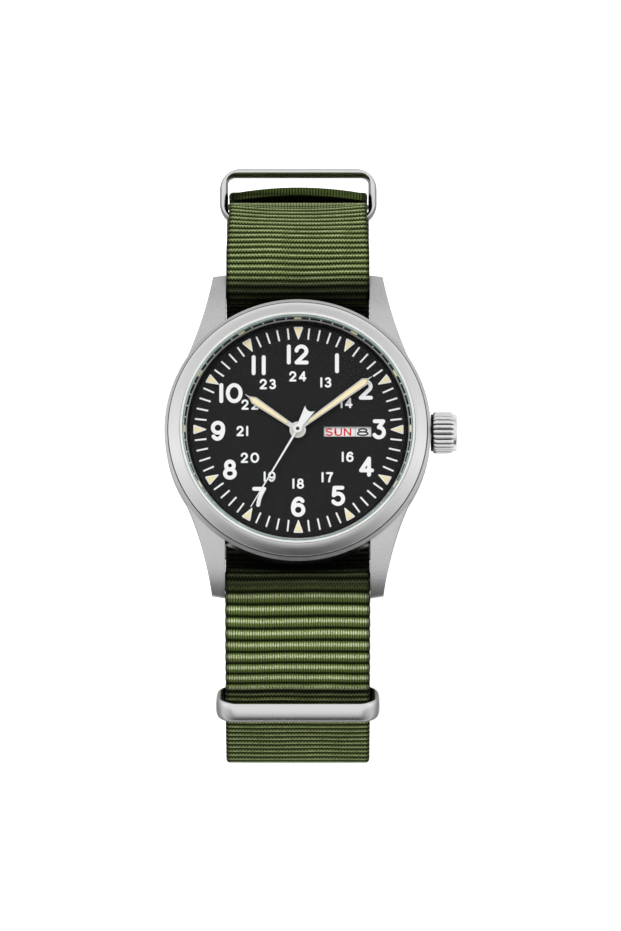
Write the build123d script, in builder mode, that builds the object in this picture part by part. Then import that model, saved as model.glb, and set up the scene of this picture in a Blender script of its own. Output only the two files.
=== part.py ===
from build123d import *
import math
import os

# Field watch on a closed pass-through webbing strap, in millimetres.
# X points to the crown at 3 o'clock, Y to 12 o'clock, Z out of the dial.
# The origin is on the axis of the hands, at mid height of the wrist opening.

os.makedirs("parts", exist_ok=True)

# Wrist opening and strap
wrist_half_height = 19.0
strap_width = 20.0
strap_thickness = 1.2
layer_gap = 0.25
strap_to_case_gap = 0.2

# General fits
running_clearance = 0.05
overrun = 1.0
half_circle = 180.0

# Case middle and lugs
case_height = 6.3
case_radius = 18.65
case_wall = 2.4
case_ledge_width = 0.45
case_ledge_drop = 0.35
case_bottom_chamfer = 0.5
lug_clearance = 0.15
lug_reach = 4.4
lug_tip_width = 1.85
lug_tip_skew = 0.3
lug_waist_inset = 4.65
lug_waist_y_share = 0.764
lug_root_inset = 1.2
lug_root_y = 6.45
lug_top_drop = 0.45
lug_shoulder_run = 10.4
lug_mid_run = 4.35
lug_mid_drop = 1.75
lug_tip_drop = 4.4
lug_tip_height = 1.3
lug_heel_run = 1.45
lug_heel_drop = 6.0
lug_belly_run = 9.0

# Case back and its gasket
back_flange_height = 1.6
back_margin = 1.25
back_chamfer = 0.4
back_floor = 1.0
back_plate_seat = 0.5
back_gasket_width = 0.4
back_gasket_height = 0.4

# Bezel, crystal and chapter ring
bezel_margin = 0.57
bezel_face_width = 1.65
bezel_rise = 1.5
bezel_edge_height = 0.3
bezel_flange_width = 0.73
bezel_flange_height = 0.3
crystal_gasket_width = 0.33
crystal_bevel = 0.5
crystal_dome = 0.6
crystal_dome_shares = (0.55, 0.7)
crystal_rim_height = 1.2
chapter_clearance = 0.15
chapter_top_width = 0.4
chapter_slope_width = 0.6
chapter_height = 1.2

# Dial
dial_clearance = 0.35
dial_thickness = 0.4
dial_hole_radius = 1.0
window_inner_x = 3.65
window_outer_x = 10.3
window_top_y = 0.63
window_bottom_y = -0.84
marker_edge_gap = 1.2
marker_length = 1.83
marker_width = 1.44
marker_height = 0.12

# Hands, with heights above the dial
hour_hand_length = 8.9
hour_hand_shoulder = 7.4
hour_hand_width = 1.06
hour_hand_angle = 145.5
hour_hand_height = 0.5
minute_hand_length = 12.8
minute_hand_shoulder = 11.55
minute_hand_width = 1.1
minute_hand_angle = 36.0
minute_hand_height = 0.9
hand_root_width = 0.55
hand_neck_length = 0.55
hand_neck_width = 0.16
hand_tip_width = 0.08
hand_thickness = 0.15
seconds_hand_length = 12.9
seconds_hand_root_width = 0.3
seconds_hand_tip_width = 0.12
seconds_hand_angle = -120.5
seconds_hand_height = 1.3
seconds_hand_thickness = 0.12
seconds_tail_length = 3.4
seconds_tail_width = 1.57
seconds_tail_notch = 0.45
hour_hub_radius = 1.15
hour_hub_height = 0.35
minute_hub_radius = 0.8
minute_hub_height = 0.25
seconds_boss_radius = 0.6
seconds_boss_height = 0.42
arbor_radius = 0.15
cannon_wall = 0.3
hour_pipe_wall = 0.3
arbor_recess = 0.06

# Crown, tube and stem
crown_drop = 2.8
crown_radius = 2.95
crown_flute_length = 2.9
crown_cap_radius = 2.6
crown_cap_length = 0.6
crown_flute_count = 26
crown_flute_depth = 0.24
crown_flute_share = 0.4
crown_chamfer = 0.25
crown_case_gap = 0.25
crown_recess_radius = 2.0
crown_recess_depth = 2.2
crown_travel = 1.5
crown_gasket_height = 0.6
tube_radius = 1.3
tube_bore_radius = 0.6
tube_depth_in_crown = 2.0
tube_bore_gap = 0.35
stem_radius = 0.42
stem_inner_x = 4.8
stem_square = 0.42
stem_shoulder_length = 0.3
stem_groove_x = 9.2
stem_groove_width = 0.7
stem_groove_radius = 0.2
clutch_x = 6.6
clutch_radius = 0.72
clutch_length = 1.2
clutch_teeth = 12

# Movement, with depths below the underside of the dial
movement_radius = 12.8
movement_ring_gap = 0.1
disc_top = 0.1
disc_thickness = 0.2
day_disc_radius = 8.0
day_disc_hole = 2.3
day_star_depth = 0.7
day_count = 7
date_ring_inner = 8.15
date_ring_outer = 12.2
date_ring_tooth = 0.5
date_count = 31
plate_top = 0.4
plate_bottom = 1.7
plate_recess_radius = 5.2
plate_recess_bottom = 1.15
minute_post_radius = 0.25
stem_slot_width = 1.8
stem_slot_end = 10.5
hour_wheel_top = 0.45
hour_wheel_bottom = 0.65
minute_wheel_top = 0.75
minute_wheel_bottom = 1.0
center_wheel_top = 1.85
center_wheel_bottom = 2.05
center_hub_top = 1.8
center_hub_radius = 0.7
third_wheel_top = 2.3
third_wheel_bottom = 2.5
fourth_wheel_top = 2.65
fourth_wheel_bottom = 2.85
fifth_wheel_top = 2.3
fifth_wheel_bottom = 2.5
bridge_top = 3.1
bridge_bottom = 3.4
bridge_arm_radius = 1.1
pillar_radius = 0.6
pillar_reaches = (4.6, 4.75, 5.15)
pillar_angles = (131.0, 332.0, 256.5)
pivot_radius = 0.12
pivot_end_gap = 0.05

# Gear teeth
hour_wheel_teeth = 32
minute_pinion_teeth = 8
minute_wheel_teeth = 30
cannon_teeth = 10
minute_module = 0.135
center_wheel_teeth = 45
train_pinion_teeth = 6
third_wheel_teeth = 48
third_module = 0.1333
fourth_wheel_teeth = 30
fourth_module = 0.2
fifth_wheel_teeth = 36
fifth_module = 0.12
tooth_tip_share = 0.9
tooth_root_share = 1.1
third_direction = 200.0
fifth_direction = 60.0
rotor_direction = 100.0
minute_wheel_direction = 115.0

# Motor, battery and circuit
rotor_radius = 0.8
rotor_top = 1.85
rotor_bottom = 2.15
stator_top = 1.85
stator_bottom = 2.1
stator_hole_radius = 1.0
stator_arm_width = 1.4
coil_y = 8.2
coil_radius = 0.8
coil_core_radius = 0.35
coil_half_length = 3.6
coil_depth = 2.65
coil_tab_length = 1.6
battery_x = 2.6
battery_y = -8.4
battery_radius = 3.4
battery_top = 1.8
battery_bottom = 3.3
battery_lip = 0.25
clamp_thickness = 0.15
clamp_width = 1.8
clamp_post_gap = 1.0
clamp_cover_share = 0.2
board_inner_radius = 7.4
board_outer_radius = 11.9
board_top = 1.75
board_bottom = 2.0
board_start_angle = 140.0
board_sweep_angle = 105.0
can_radius = 0.6
can_length = 5.0
can_reach = 9.6
can_angle = 165.0

# Setting lever
lever_pivot_y = 3.6
lever_radius = 0.55
lever_width = 0.5
lever_nose_radius = 0.28
lever_pin_radius = 0.25
lever_thickness = 0.3
lever_pocket_width = 2.6

# Spring bars
spring_bar_reach = 2.55
spring_bar_drop = 4.3
spring_bar_radius = 0.75
spring_bar_end_gap = 0.25
spring_bar_bore = 0.42
bar_tip_length = 2.6
bar_tip_lug_depth = 0.8
bar_tip_travel = 1.0
bar_strap_clearance = 0.05
lug_hole_clearance = 0.05
lug_hole_depth = 0.95

# Strap route, as corners of its middle line, and bend radii
case_side_bend = 2.7
top_crest_reach = 15.05
top_crest_z = 20.5
top_slope_reach = 9.25
top_arch_radius = 17.8
top_crest_bend = 3.0
top_lean_share = 0.25
lean_bend = 12.0
bottom_corner_radius = 16.0
low_slope_reach = 9.2
low_arch_radius = 16.8
low_dip_run = 4.0
low_exit_run = 1.6
low_horizon_reach = 25.35
low_horizon_z = 10.0
low_lean = 6.5
low_bend_radius = 3.0
low_corner_radius = 12.0
short_corner_reach = 13.35
short_corner_bend = 3.5
short_pocket_z = 5.0
short_pocket_bend = 15.0
short_bottom_radius = 13.0
short_slope_bend = 8.0
tail_reach = 21.6
tail_top_z = 5.2
tail_corner_radius = 17.45
ramp_start_y = -1.0
ramp_end_y = 4.0
ramp_bend = 2.6
tail_merge_start_y = 9.0
tail_merge_end_y = 13.5
fold_back_end_y = 14.5
short_band_start_y = 15.0
eye_exit_y = 7.6
eye_exit_run = 2.4
fold_share = 0.995

# Keepers
keeper_side_gap = 0.25
keeper_height = 8.35
keeper_thickness = 1.25
keeper_depth = 2.8
keeper_corner = 2.9
keeper_inner_corner = 0.9
keeper_edge_chamfer = 0.35
keeper_strap_gap = 0.5
tail_keeper_reach = 18.1
tail_keeper_z = 0.0
case_keeper_reach = 16.65
case_keeper_bar_z = 12.7
case_keeper_slope = 28.0
fold_relief_width = 0.7
keeper_fold_clearance = 0.12
fold_return_length = 6.5

# Buckle
buckle_bar_y = 6.0
buckle_bar_radius = 0.6
eye_clearance = 0.08
buckle_floor_drop = 24.5
buckle_front_y = -9.6
buckle_flat_end_y = 0.5
buckle_crossbar_width = 2.6
buckle_crossbar_height = 2.3
buckle_side_gap = 0.45
buckle_arm_width = 1.75
buckle_boss_radius = 1.5
buckle_corner = 2.6
buckle_edge_fillet = 0.45
buckle_bar_inset = 0.3
tang_width = 1.5
tang_eye_width = 1.8
tang_thickness = 0.9
tang_eye_radius = 1.3
tang_notch_clearance = 0.2
tang_floor_gap = 0.1
tang_start_y = 5.3
tang_start_z = -21.6
tang_knee_y = -0.3
tang_overhang = 0.4
strap_hole_length = 3.15
strap_hole_width = 1.95
tang_hole_length = 4.2
tang_hole_y = 2.7
strap_eye_slot_width = 2.4
free_hole_ys = (-6.9, -15.2, -23.5)
tail_hole_y = 17.5

# Places that follow from the case
lug_tip_y = case_radius + lug_reach
lug_waist_x = case_radius - lug_waist_inset
lug_waist_y = case_radius * lug_waist_y_share
lug_root_x = case_radius - lug_root_inset
spring_bar_y = case_radius + spring_bar_reach
top_crest_y = case_radius + top_crest_reach
top_slope_corner_y = case_radius + top_slope_reach
low_slope_corner_y = -case_radius - low_slope_reach
low_horizon_y = -case_radius - low_horizon_reach
short_corner_y = case_radius + short_corner_reach
tail_y = case_radius + tail_reach
tail_keeper_inner_y = case_radius + tail_keeper_reach
case_keeper_bar_y = -case_radius - case_keeper_reach

# Widths that follow from the strap
lug_gap = strap_width + 2 * lug_clearance
spring_bar_half_length = lug_gap / 2 - spring_bar_end_gap
bar_tip_radius = spring_bar_bore - running_clearance
bar_tip_reach = lug_gap / 2 + bar_tip_lug_depth
lug_hole_radius = bar_tip_radius + lug_hole_clearance
keeper_width = strap_width + 2 * (keeper_thickness + keeper_side_gap)
buckle_inner_width = strap_width + 2 * buckle_side_gap
buckle_outer_width = buckle_inner_width + 2 * buckle_arm_width

# Heights that follow from the pieces
short_band_z = wrist_half_height + strap_thickness / 2
long_band_z = short_band_z + strap_thickness + layer_gap
back_outer_z = long_band_z + strap_thickness / 2 + strap_to_case_gap
bezel_edge_z = back_outer_z + case_height
case_bottom_z = back_outer_z + back_flange_height
dial_top_z = bezel_edge_z - chapter_height
dial_bottom_z = dial_top_z - dial_thickness
crystal_bottom_z = bezel_edge_z + bezel_flange_height
crystal_rim_z = crystal_bottom_z + crystal_rim_height
crown_z = bezel_edge_z - crown_drop
spring_bar_z = bezel_edge_z - spring_bar_drop
eye_route_radius = buckle_bar_radius + eye_clearance + strap_thickness / 2
buckle_bar_z = -(short_band_z + eye_route_radius)
floor_z = -buckle_floor_drop

# Radii that follow from the pieces
case_bore_radius = case_radius - case_wall
back_radius = case_radius - back_margin
bezel_radius = case_radius - bezel_margin
bezel_seat_radius = bezel_radius - bezel_face_width
bezel_flange_radius = bezel_seat_radius - bezel_flange_width
crystal_radius = bezel_seat_radius - crystal_gasket_width
chapter_radius = case_bore_radius - chapter_clearance
chapter_top_radius = chapter_radius - chapter_top_width
chapter_bottom_radius = chapter_top_radius - chapter_slope_width
dial_radius = case_bore_radius - dial_clearance
marker_outer_reach = dial_radius - marker_edge_gap
marker_inner_reach = marker_outer_reach - marker_length
crown_inner_x = case_radius + crown_case_gap
tube_reach = crown_inner_x + tube_depth_in_crown
tube_inner_reach = case_bore_radius + tube_bore_gap
cannon_bore = arbor_radius + running_clearance
cannon_radius = cannon_bore + cannon_wall
hour_pipe_bore = cannon_radius + running_clearance
hour_pipe_radius = hour_pipe_bore + hour_pipe_wall

# Gear spacing, and the modules of the second gear on each shaft
minute_reach = minute_module * (minute_wheel_teeth + cannon_teeth) / 2
hour_module = 2 * minute_reach / (hour_wheel_teeth + minute_pinion_teeth)
third_reach = third_module * (third_wheel_teeth + train_pinion_teeth) / 2
center_module = 2 * third_reach / (center_wheel_teeth + train_pinion_teeth)
fifth_reach = fourth_module * (fourth_wheel_teeth + train_pinion_teeth) / 2
rotor_reach = fifth_module * (fifth_wheel_teeth + train_pinion_teeth) / 2


def at_depth(below_dial):
    """Level plane of the movement, at a depth below the dial."""
    return Plane.XY.offset(dial_bottom_z - below_dial)


def polar(reach, degrees):
    """Point at a distance and direction from the axis of the hands."""
    return (reach * math.cos(math.radians(degrees)), reach * math.sin(math.radians(degrees)))


def lathe_outline(points):
    """Half outline of a turned piece, as radius and height, in the XZ plane."""
    with BuildSketch(Plane.XZ) as outline:
        with BuildLine():
            Polyline(*points, close=True)
        make_face()
    return outline.sketch


def gear_outline(plane, centre, module, teeth, phase):
    """Toothed disc with one tooth pointing in the direction of phase."""
    tip = module * (teeth / 2 + tooth_tip_share)
    root = module * (teeth / 2 - tooth_root_share)
    corners = []
    for index in range(2 * teeth):
        reach = tip if index % 2 == 0 else root
        x, y = polar(reach, phase + half_circle * index / teeth)
        corners.append((centre[0] + x, centre[1] + y))
    with BuildSketch(plane) as outline:
        with BuildLine():
            Polyline(*corners, close=True)
        make_face()
    return outline.sketch


def valley_towards(direction, teeth):
    """Phase that turns a valley of a gear in a direction."""
    return direction + half_circle / teeth


def discs_outline(plane, centres, radius):
    """Round outlines at several centres."""
    with BuildSketch(plane) as outline:
        with Locations(*centres):
            Circle(radius)
    return outline.sketch


def bend_points(before, corner, after, radius, side):
    """Arc that rounds a corner of a route, moved sideways: start, middle and end."""
    into = (Vector(*corner) - Vector(*before)).normalized()
    out = (Vector(*after) - Vector(*corner)).normalized()
    half_turn = math.radians(into.get_angle(out)) / 2
    run = radius * math.tan(half_turn)
    start = Vector(*corner) - into * run
    end = Vector(*corner) + out * run
    inward = (out - into).normalized()
    middle = Vector(*corner) + inward * (radius / math.cos(half_turn) - radius)
    along = (into + out).normalized()
    points = []
    for point, heading in ((start, into), (middle, along), (end, out)):
        points.append((point.X - side * heading.Y, point.Y + side * heading.X))
    return points


def band_outline(corners, radii, thickness):
    """Section of a band in the YZ plane, along a route with rounded corners."""
    first_run = (Vector(*corners[1]) - Vector(*corners[0])).normalized()
    last_run = (Vector(*corners[-1]) - Vector(*corners[-2])).normalized()
    caps = []
    with BuildSketch(Plane.YZ) as outline:
        with BuildLine():
            for side in (thickness / 2, -thickness / 2):
                last = (corners[0][0] - side * first_run.Y, corners[0][1] + side * first_run.X)
                cap_start = last
                for index, radius in enumerate(radii, start=1):
                    start, middle, end = bend_points(
                        corners[index - 1], corners[index], corners[index + 1], radius, side
                    )
                    Line(last, start)
                    ThreePointArc(start, middle, end)
                    last = end
                cap_end = (
                    corners[-1][0] - side * last_run.Y,
                    corners[-1][1] + side * last_run.X,
                )
                Line(last, cap_end)
                caps.append((cap_start, cap_end))
            Line(caps[0][0], caps[1][0])
            Line(caps[0][1], caps[1][1])
        make_face()
    return outline.sketch


def hand_outline(plane, length, shoulder, width):
    """Pencil shaped blade of a hand, pointing along the plane's X."""
    neck = length - hand_neck_length
    with BuildSketch(plane) as outline:
        with BuildLine():
            upper = Polyline(
                (0, hand_root_width / 2),
                (shoulder, width / 2),
                (neck, hand_neck_width / 2),
                (length, hand_tip_width / 2),
                (length, 0),
            )
            mirror(upper, about=Plane.XZ)
            Line((0, hand_root_width / 2), (0, -hand_root_width / 2))
        make_face()
    return outline.sketch


def keeper_outline(plane):
    """Rounded rectangular ring, across the strap."""
    with BuildSketch(plane) as outline:
        RectangleRounded(keeper_width, keeper_height, keeper_corner)
        RectangleRounded(
            keeper_width - 2 * keeper_thickness,
            keeper_height - 2 * keeper_thickness,
            keeper_inner_corner,
            mode=Mode.SUBTRACT,
        )
    return outline.sketch


# Case middle: lugs first, then the drum round them
with BuildPart() as case_middle:
    with BuildSketch(Plane.XY.offset(bezel_edge_z - lug_heel_drop)):
        with BuildLine():
            Polyline(
                (lug_root_x, lug_root_y),
                (lug_root_x, 0),
                (lug_gap / 2, 0),
                (lug_gap / 2, lug_tip_y),
                (lug_gap / 2 + lug_tip_width, lug_tip_y - lug_tip_skew),
            )
            ThreePointArc(
                (lug_gap / 2 + lug_tip_width, lug_tip_y - lug_tip_skew),
                (lug_waist_x, lug_waist_y),
                (lug_root_x, lug_root_y),
            )
        make_face()
    extrude(amount=lug_heel_drop)
    with BuildSketch(Plane.YZ):
        with BuildLine():
            Line(
                (0, bezel_edge_z - lug_top_drop),
                (lug_tip_y - lug_shoulder_run, bezel_edge_z - lug_top_drop),
            )
            ThreePointArc(
                (lug_tip_y - lug_shoulder_run, bezel_edge_z - lug_top_drop),
                (lug_tip_y - lug_mid_run, bezel_edge_z - lug_mid_drop),
                (lug_tip_y, bezel_edge_z - lug_tip_drop),
            )
            Polyline(
                (lug_tip_y, bezel_edge_z - lug_tip_drop),
                (lug_tip_y, bezel_edge_z - lug_tip_drop - lug_tip_height),
                (lug_tip_y - lug_heel_run, bezel_edge_z - lug_heel_drop),
                (lug_tip_y - lug_belly_run, case_bottom_z + case_bottom_chamfer),
                (0, case_bottom_z + case_bottom_chamfer),
                (0, bezel_edge_z - lug_top_drop),
            )
        make_face()
    extrude(amount=case_radius + overrun, mode=Mode.INTERSECT)
    mirror(about=Plane.YZ)
    mirror(about=Plane.XZ)
    revolve(
        lathe_outline(
            [
                (0, case_bottom_z),
                (case_radius - case_bottom_chamfer, case_bottom_z),
                (case_radius, case_bottom_z + case_bottom_chamfer),
                (case_radius, bezel_edge_z - case_ledge_drop),
                (case_radius - case_ledge_width, bezel_edge_z),
                (0, bezel_edge_z),
            ]
        ),
        axis=Axis.Z,
    )
    with BuildSketch(Plane.XY.offset(case_bottom_z - overrun)):
        Circle(case_bore_radius)
    extrude(amount=case_height + 2 * overrun, mode=Mode.SUBTRACT)
    with BuildSketch(Plane.YZ.offset(case_bore_radius - overrun)):
        with Locations((0, crown_z)):
            Circle(tube_radius)
    extrude(amount=case_radius, mode=Mode.SUBTRACT)
    for side_y in (spring_bar_y, -spring_bar_y):
        with BuildSketch(Plane.YZ.offset(-lug_gap / 2 - lug_hole_depth)):
            with Locations((side_y, spring_bar_z)):
                Circle(lug_hole_radius)
        extrude(amount=lug_gap + 2 * lug_hole_depth, mode=Mode.SUBTRACT)

case_middle.part.label = "case_middle"
export_step(case_middle.part, "parts/case_middle.step")

# Case back: flange outside, spigot that carries the movement
with BuildPart() as case_back:
    plate_floor_z = dial_bottom_z - plate_bottom
    spigot_radius = case_bore_radius - running_clearance
    plate_seat_radius = movement_radius - back_plate_seat
    revolve(
        lathe_outline(
            [
                (0, back_outer_z),
                (back_radius - back_chamfer, back_outer_z),
                (back_radius, back_outer_z + back_chamfer),
                (back_radius, case_bottom_z),
                (spigot_radius, case_bottom_z),
                (spigot_radius - back_gasket_width, case_bottom_z + back_gasket_height),
                (spigot_radius - back_gasket_width, plate_floor_z),
                (plate_seat_radius, plate_floor_z),
                (plate_seat_radius, back_outer_z + back_floor),
                (0, back_outer_z + back_floor),
            ]
        ),
        axis=Axis.Z,
    )

case_back.part.label = "case_back"
export_step(case_back.part, "parts/case_back.step")

# Case back gasket: wedge shaped ring between the spigot and the case
with BuildPart() as back_gasket:
    revolve(
        lathe_outline(
            [
                (spigot_radius, case_bottom_z),
                (spigot_radius, case_bottom_z + back_gasket_height),
                (spigot_radius - back_gasket_width, case_bottom_z + back_gasket_height),
            ]
        ),
        axis=Axis.Z,
    )

back_gasket.part.label = "back_gasket"
export_step(back_gasket.part, "parts/back_gasket.step")

# Bezel: sloping ring on the case's edge, holds the crystal
with BuildPart() as bezel:
    revolve(
        lathe_outline(
            [
                (bezel_flange_radius, bezel_edge_z),
                (bezel_radius, bezel_edge_z),
                (bezel_radius, bezel_edge_z + bezel_edge_height),
                (bezel_seat_radius, bezel_edge_z + bezel_rise),
                (bezel_seat_radius, crystal_bottom_z),
                (bezel_flange_radius, crystal_bottom_z),
            ]
        ),
        axis=Axis.Z,
    )

bezel.part.label = "bezel"
export_step(bezel.part, "parts/bezel.step")

# Crystal: domed on both faces, with a bevelled rim
with BuildPart() as crystal:
    crystal_edge = crystal_radius - crystal_bevel
    shelf = bezel_flange_radius - running_clearance
    dome_reach_share, dome_rise_share = crystal_dome_shares
    dome_step = crystal_dome * dome_rise_share
    revolve(
        lathe_outline(
            [
                (0, crystal_bottom_z + crystal_dome),
                (shelf * dome_reach_share, crystal_bottom_z + dome_step),
                (shelf, crystal_bottom_z),
                (crystal_radius, crystal_bottom_z),
                (crystal_radius, crystal_rim_z - crystal_bevel),
                (crystal_edge, crystal_rim_z),
                (crystal_edge * dome_reach_share, crystal_rim_z + dome_step),
                (0, crystal_rim_z + crystal_dome),
            ]
        ),
        axis=Axis.Z,
    )

crystal.part.label = "crystal"
export_step(crystal.part, "parts/crystal.step")

# Crystal gasket: thin ring between crystal and bezel
with BuildPart() as crystal_gasket:
    with BuildSketch(Plane.XY.offset(crystal_bottom_z)):
        Circle(bezel_seat_radius)
        Circle(crystal_radius, mode=Mode.SUBTRACT)
    extrude(amount=crystal_rim_height)

crystal_gasket.part.label = "crystal_gasket"
export_step(crystal_gasket.part, "parts/crystal_gasket.step")

# Chapter ring: slopes from the bezel down to the dial
with BuildPart() as chapter_ring:
    revolve(
        lathe_outline(
            [
                (chapter_bottom_radius, dial_top_z),
                (chapter_radius, dial_top_z),
                (chapter_radius, bezel_edge_z),
                (chapter_top_radius, bezel_edge_z),
            ]
        ),
        axis=Axis.Z,
    )

chapter_ring.part.label = "chapter_ring"
export_step(chapter_ring.part, "parts/chapter_ring.step")

# Dial: disc with the day-date window
with BuildPart() as dial:
    with BuildSketch(Plane.XY.offset(dial_bottom_z)):
        Circle(dial_radius)
        Circle(dial_hole_radius, mode=Mode.SUBTRACT)
        with Locations(
            ((window_inner_x + window_outer_x) / 2, (window_top_y + window_bottom_y) / 2)
        ):
            Rectangle(
                window_outer_x - window_inner_x,
                window_top_y - window_bottom_y,
                mode=Mode.SUBTRACT,
            )
    extrude(amount=dial_thickness)

dial.part.label = "dial"
export_step(dial.part, "parts/dial.step")

# Hour markers: twelve raised triangles that point at the hands
with BuildPart() as hour_markers:
    with BuildSketch(Plane.XY.offset(dial_top_z)):
        with PolarLocations(0, 12):
            Polygon(
                (marker_inner_reach, 0),
                (marker_outer_reach, -marker_width / 2),
                (marker_outer_reach, marker_width / 2),
                align=None,
            )
    extrude(amount=marker_height)

hour_markers.part.label = "hour_markers"
export_step(hour_markers.part, "parts/hour_markers.step")

# Hour hand: pencil blade on a hub, pressed on the hour wheel's pipe
hour_hub_bottom = dial_top_z + hour_hand_height + (hand_thickness - hour_hub_height) / 2
with BuildPart() as hour_hand:
    hour_plane = Plane.XY.offset(dial_top_z + hour_hand_height).rotated((0, 0, hour_hand_angle))
    extrude(
        hand_outline(hour_plane, hour_hand_length, hour_hand_shoulder, hour_hand_width),
        amount=hand_thickness,
    )
    with BuildSketch(Plane.XY.offset(hour_hub_bottom)):
        Circle(hour_hub_radius)
    extrude(amount=hour_hub_height)
    with BuildSketch(Plane.XY.offset(hour_hub_bottom)):
        Circle(hour_pipe_radius)
    extrude(amount=hour_hub_height, mode=Mode.SUBTRACT)

hour_hand.part.label = "hour_hand"
export_step(hour_hand.part, "parts/hour_hand.step")

# Minute hand: pencil blade on a hub, pressed on the cannon pinion
minute_hub_bottom = dial_top_z + minute_hand_height + (hand_thickness - minute_hub_height) / 2
with BuildPart() as minute_hand:
    minute_plane = Plane.XY.offset(dial_top_z + minute_hand_height)
    minute_plane = minute_plane.rotated((0, 0, minute_hand_angle))
    extrude(
        hand_outline(minute_plane, minute_hand_length, minute_hand_shoulder, minute_hand_width),
        amount=hand_thickness,
    )
    with BuildSketch(Plane.XY.offset(minute_hub_bottom)):
        Circle(minute_hub_radius)
    extrude(amount=minute_hub_height)
    with BuildSketch(Plane.XY.offset(minute_hub_bottom)):
        Circle(cannon_radius)
    extrude(amount=minute_hub_height, mode=Mode.SUBTRACT)

minute_hand.part.label = "minute_hand"
export_step(minute_hand.part, "parts/minute_hand.step")

# Seconds hand: needle, boss and swallow tail, pressed on the seconds arbor
seconds_z = dial_top_z + seconds_hand_height
seconds_boss_bottom = seconds_z - (seconds_boss_height - seconds_hand_thickness) / 3
seconds_boss_top = seconds_boss_bottom + seconds_boss_height
with BuildPart() as seconds_hand:
    with BuildSketch(Plane.XY.offset(seconds_z).rotated((0, 0, seconds_hand_angle))):
        with BuildLine():
            Polyline(
                (-seconds_tail_length, seconds_tail_width / 2),
                (0, hand_root_width / 2),
                (seconds_boss_radius, seconds_hand_root_width / 2),
                (seconds_hand_length, seconds_hand_tip_width / 2),
                (seconds_hand_length, -seconds_hand_tip_width / 2),
                (seconds_boss_radius, -seconds_hand_root_width / 2),
                (0, -hand_root_width / 2),
                (-seconds_tail_length, -seconds_tail_width / 2),
            )
            ThreePointArc(
                (-seconds_tail_length, -seconds_tail_width / 2),
                (seconds_tail_notch - seconds_tail_length, 0),
                (-seconds_tail_length, seconds_tail_width / 2),
            )
        make_face()
    extrude(amount=seconds_hand_thickness)
    with BuildSketch(Plane.XY.offset(seconds_boss_bottom)):
        Circle(seconds_boss_radius)
    extrude(amount=seconds_boss_height)
    with BuildSketch(Plane.XY.offset(seconds_boss_bottom)):
        Circle(arbor_radius)
    extrude(amount=seconds_boss_height, mode=Mode.SUBTRACT)

seconds_hand.part.label = "seconds_hand"
export_step(seconds_hand.part, "parts/seconds_hand.step")

# Crown: fluted barrel, plain end cap and a recess round the tube
crown_recess_x = crown_inner_x + crown_recess_depth
crown_flute_end_x = crown_inner_x + crown_flute_length
crown_end_x = crown_flute_end_x + crown_cap_length
with BuildPart() as crown:
    flute_angle = 360 / crown_flute_count
    flute_corners = []
    for index in range(crown_flute_count):
        for reach, share in (
            (crown_radius, -crown_flute_share / 2),
            (crown_radius, crown_flute_share / 2),
            (crown_radius - crown_flute_depth, 1 / 2),
        ):
            corner_x, corner_y = polar(reach, flute_angle * (index + share))
            flute_corners.append((corner_x, crown_z + corner_y))
    with BuildSketch(Plane.YZ.offset(crown_inner_x)):
        Polygon(*flute_corners, align=None)
    extrude(amount=crown_end_x - crown_inner_x)
    crown_axis = Axis((0, 0, crown_z), (1, 0, 0))
    with BuildSketch(Plane.XZ):
        Polygon(
            (crown_inner_x, crown_z),
            (crown_inner_x, crown_z + crown_radius - crown_chamfer),
            (crown_inner_x + crown_chamfer, crown_z + crown_radius),
            (crown_flute_end_x - crown_chamfer, crown_z + crown_radius),
            (crown_flute_end_x, crown_z + crown_cap_radius),
            (crown_end_x - crown_chamfer, crown_z + crown_cap_radius),
            (crown_end_x, crown_z + crown_cap_radius - crown_chamfer),
            (crown_end_x, crown_z),
            align=None,
        )
    revolve(axis=crown_axis, mode=Mode.INTERSECT)
    with BuildSketch(Plane.YZ.offset(crown_inner_x)):
        with Locations((0, crown_z)):
            Circle(crown_recess_radius)
    extrude(amount=crown_recess_depth, mode=Mode.SUBTRACT)

crown.part.label = "crown"
export_step(crown.part, "parts/crown.step")

# Crown tube: pressed into the case wall, reaches into the crown
with BuildPart() as crown_tube:
    with BuildSketch(Plane.YZ.offset(tube_inner_reach)):
        with Locations((0, crown_z)):
            Circle(tube_radius)
            Circle(tube_bore_radius, mode=Mode.SUBTRACT)
    extrude(amount=tube_reach - tube_inner_reach)

crown_tube.part.label = "crown_tube"
export_step(crown_tube.part, "parts/crown_tube.step")

# Crown gasket: rubber ring that slides on the tube
with BuildPart() as crown_gasket:
    with BuildSketch(Plane.YZ.offset(crown_inner_x + crown_chamfer)):
        with Locations((0, crown_z)):
            Circle(crown_recess_radius)
            Circle(tube_radius + running_clearance, mode=Mode.SUBTRACT)
    extrude(amount=crown_gasket_height)

crown_gasket.part.label = "crown_gasket"
export_step(crown_gasket.part, "parts/crown_gasket.step")

# Stem: square inner end in the clutch, groove for the setting lever
nose_x = stem_groove_x + stem_groove_width / 2
stem_shoulder_x = stem_groove_x - stem_shoulder_length
with BuildPart() as stem:
    with BuildSketch(Plane.YZ.offset(stem_inner_x)):
        with Locations((0, crown_z)):
            Rectangle(stem_square, stem_square)
    extrude(amount=stem_shoulder_x - stem_inner_x)
    with BuildSketch(Plane.YZ.offset(stem_shoulder_x)):
        with Locations((0, crown_z)):
            Circle(stem_radius)
    extrude(amount=crown_recess_x - stem_shoulder_x)
    with BuildSketch(Plane.YZ.offset(stem_groove_x)):
        with Locations((0, crown_z)):
            Circle(2 * stem_radius)
            Circle(stem_groove_radius, mode=Mode.SUBTRACT)
    extrude(amount=stem_groove_width, mode=Mode.SUBTRACT)

stem.part.label = "stem"
export_step(stem.part, "parts/stem.step")

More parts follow.
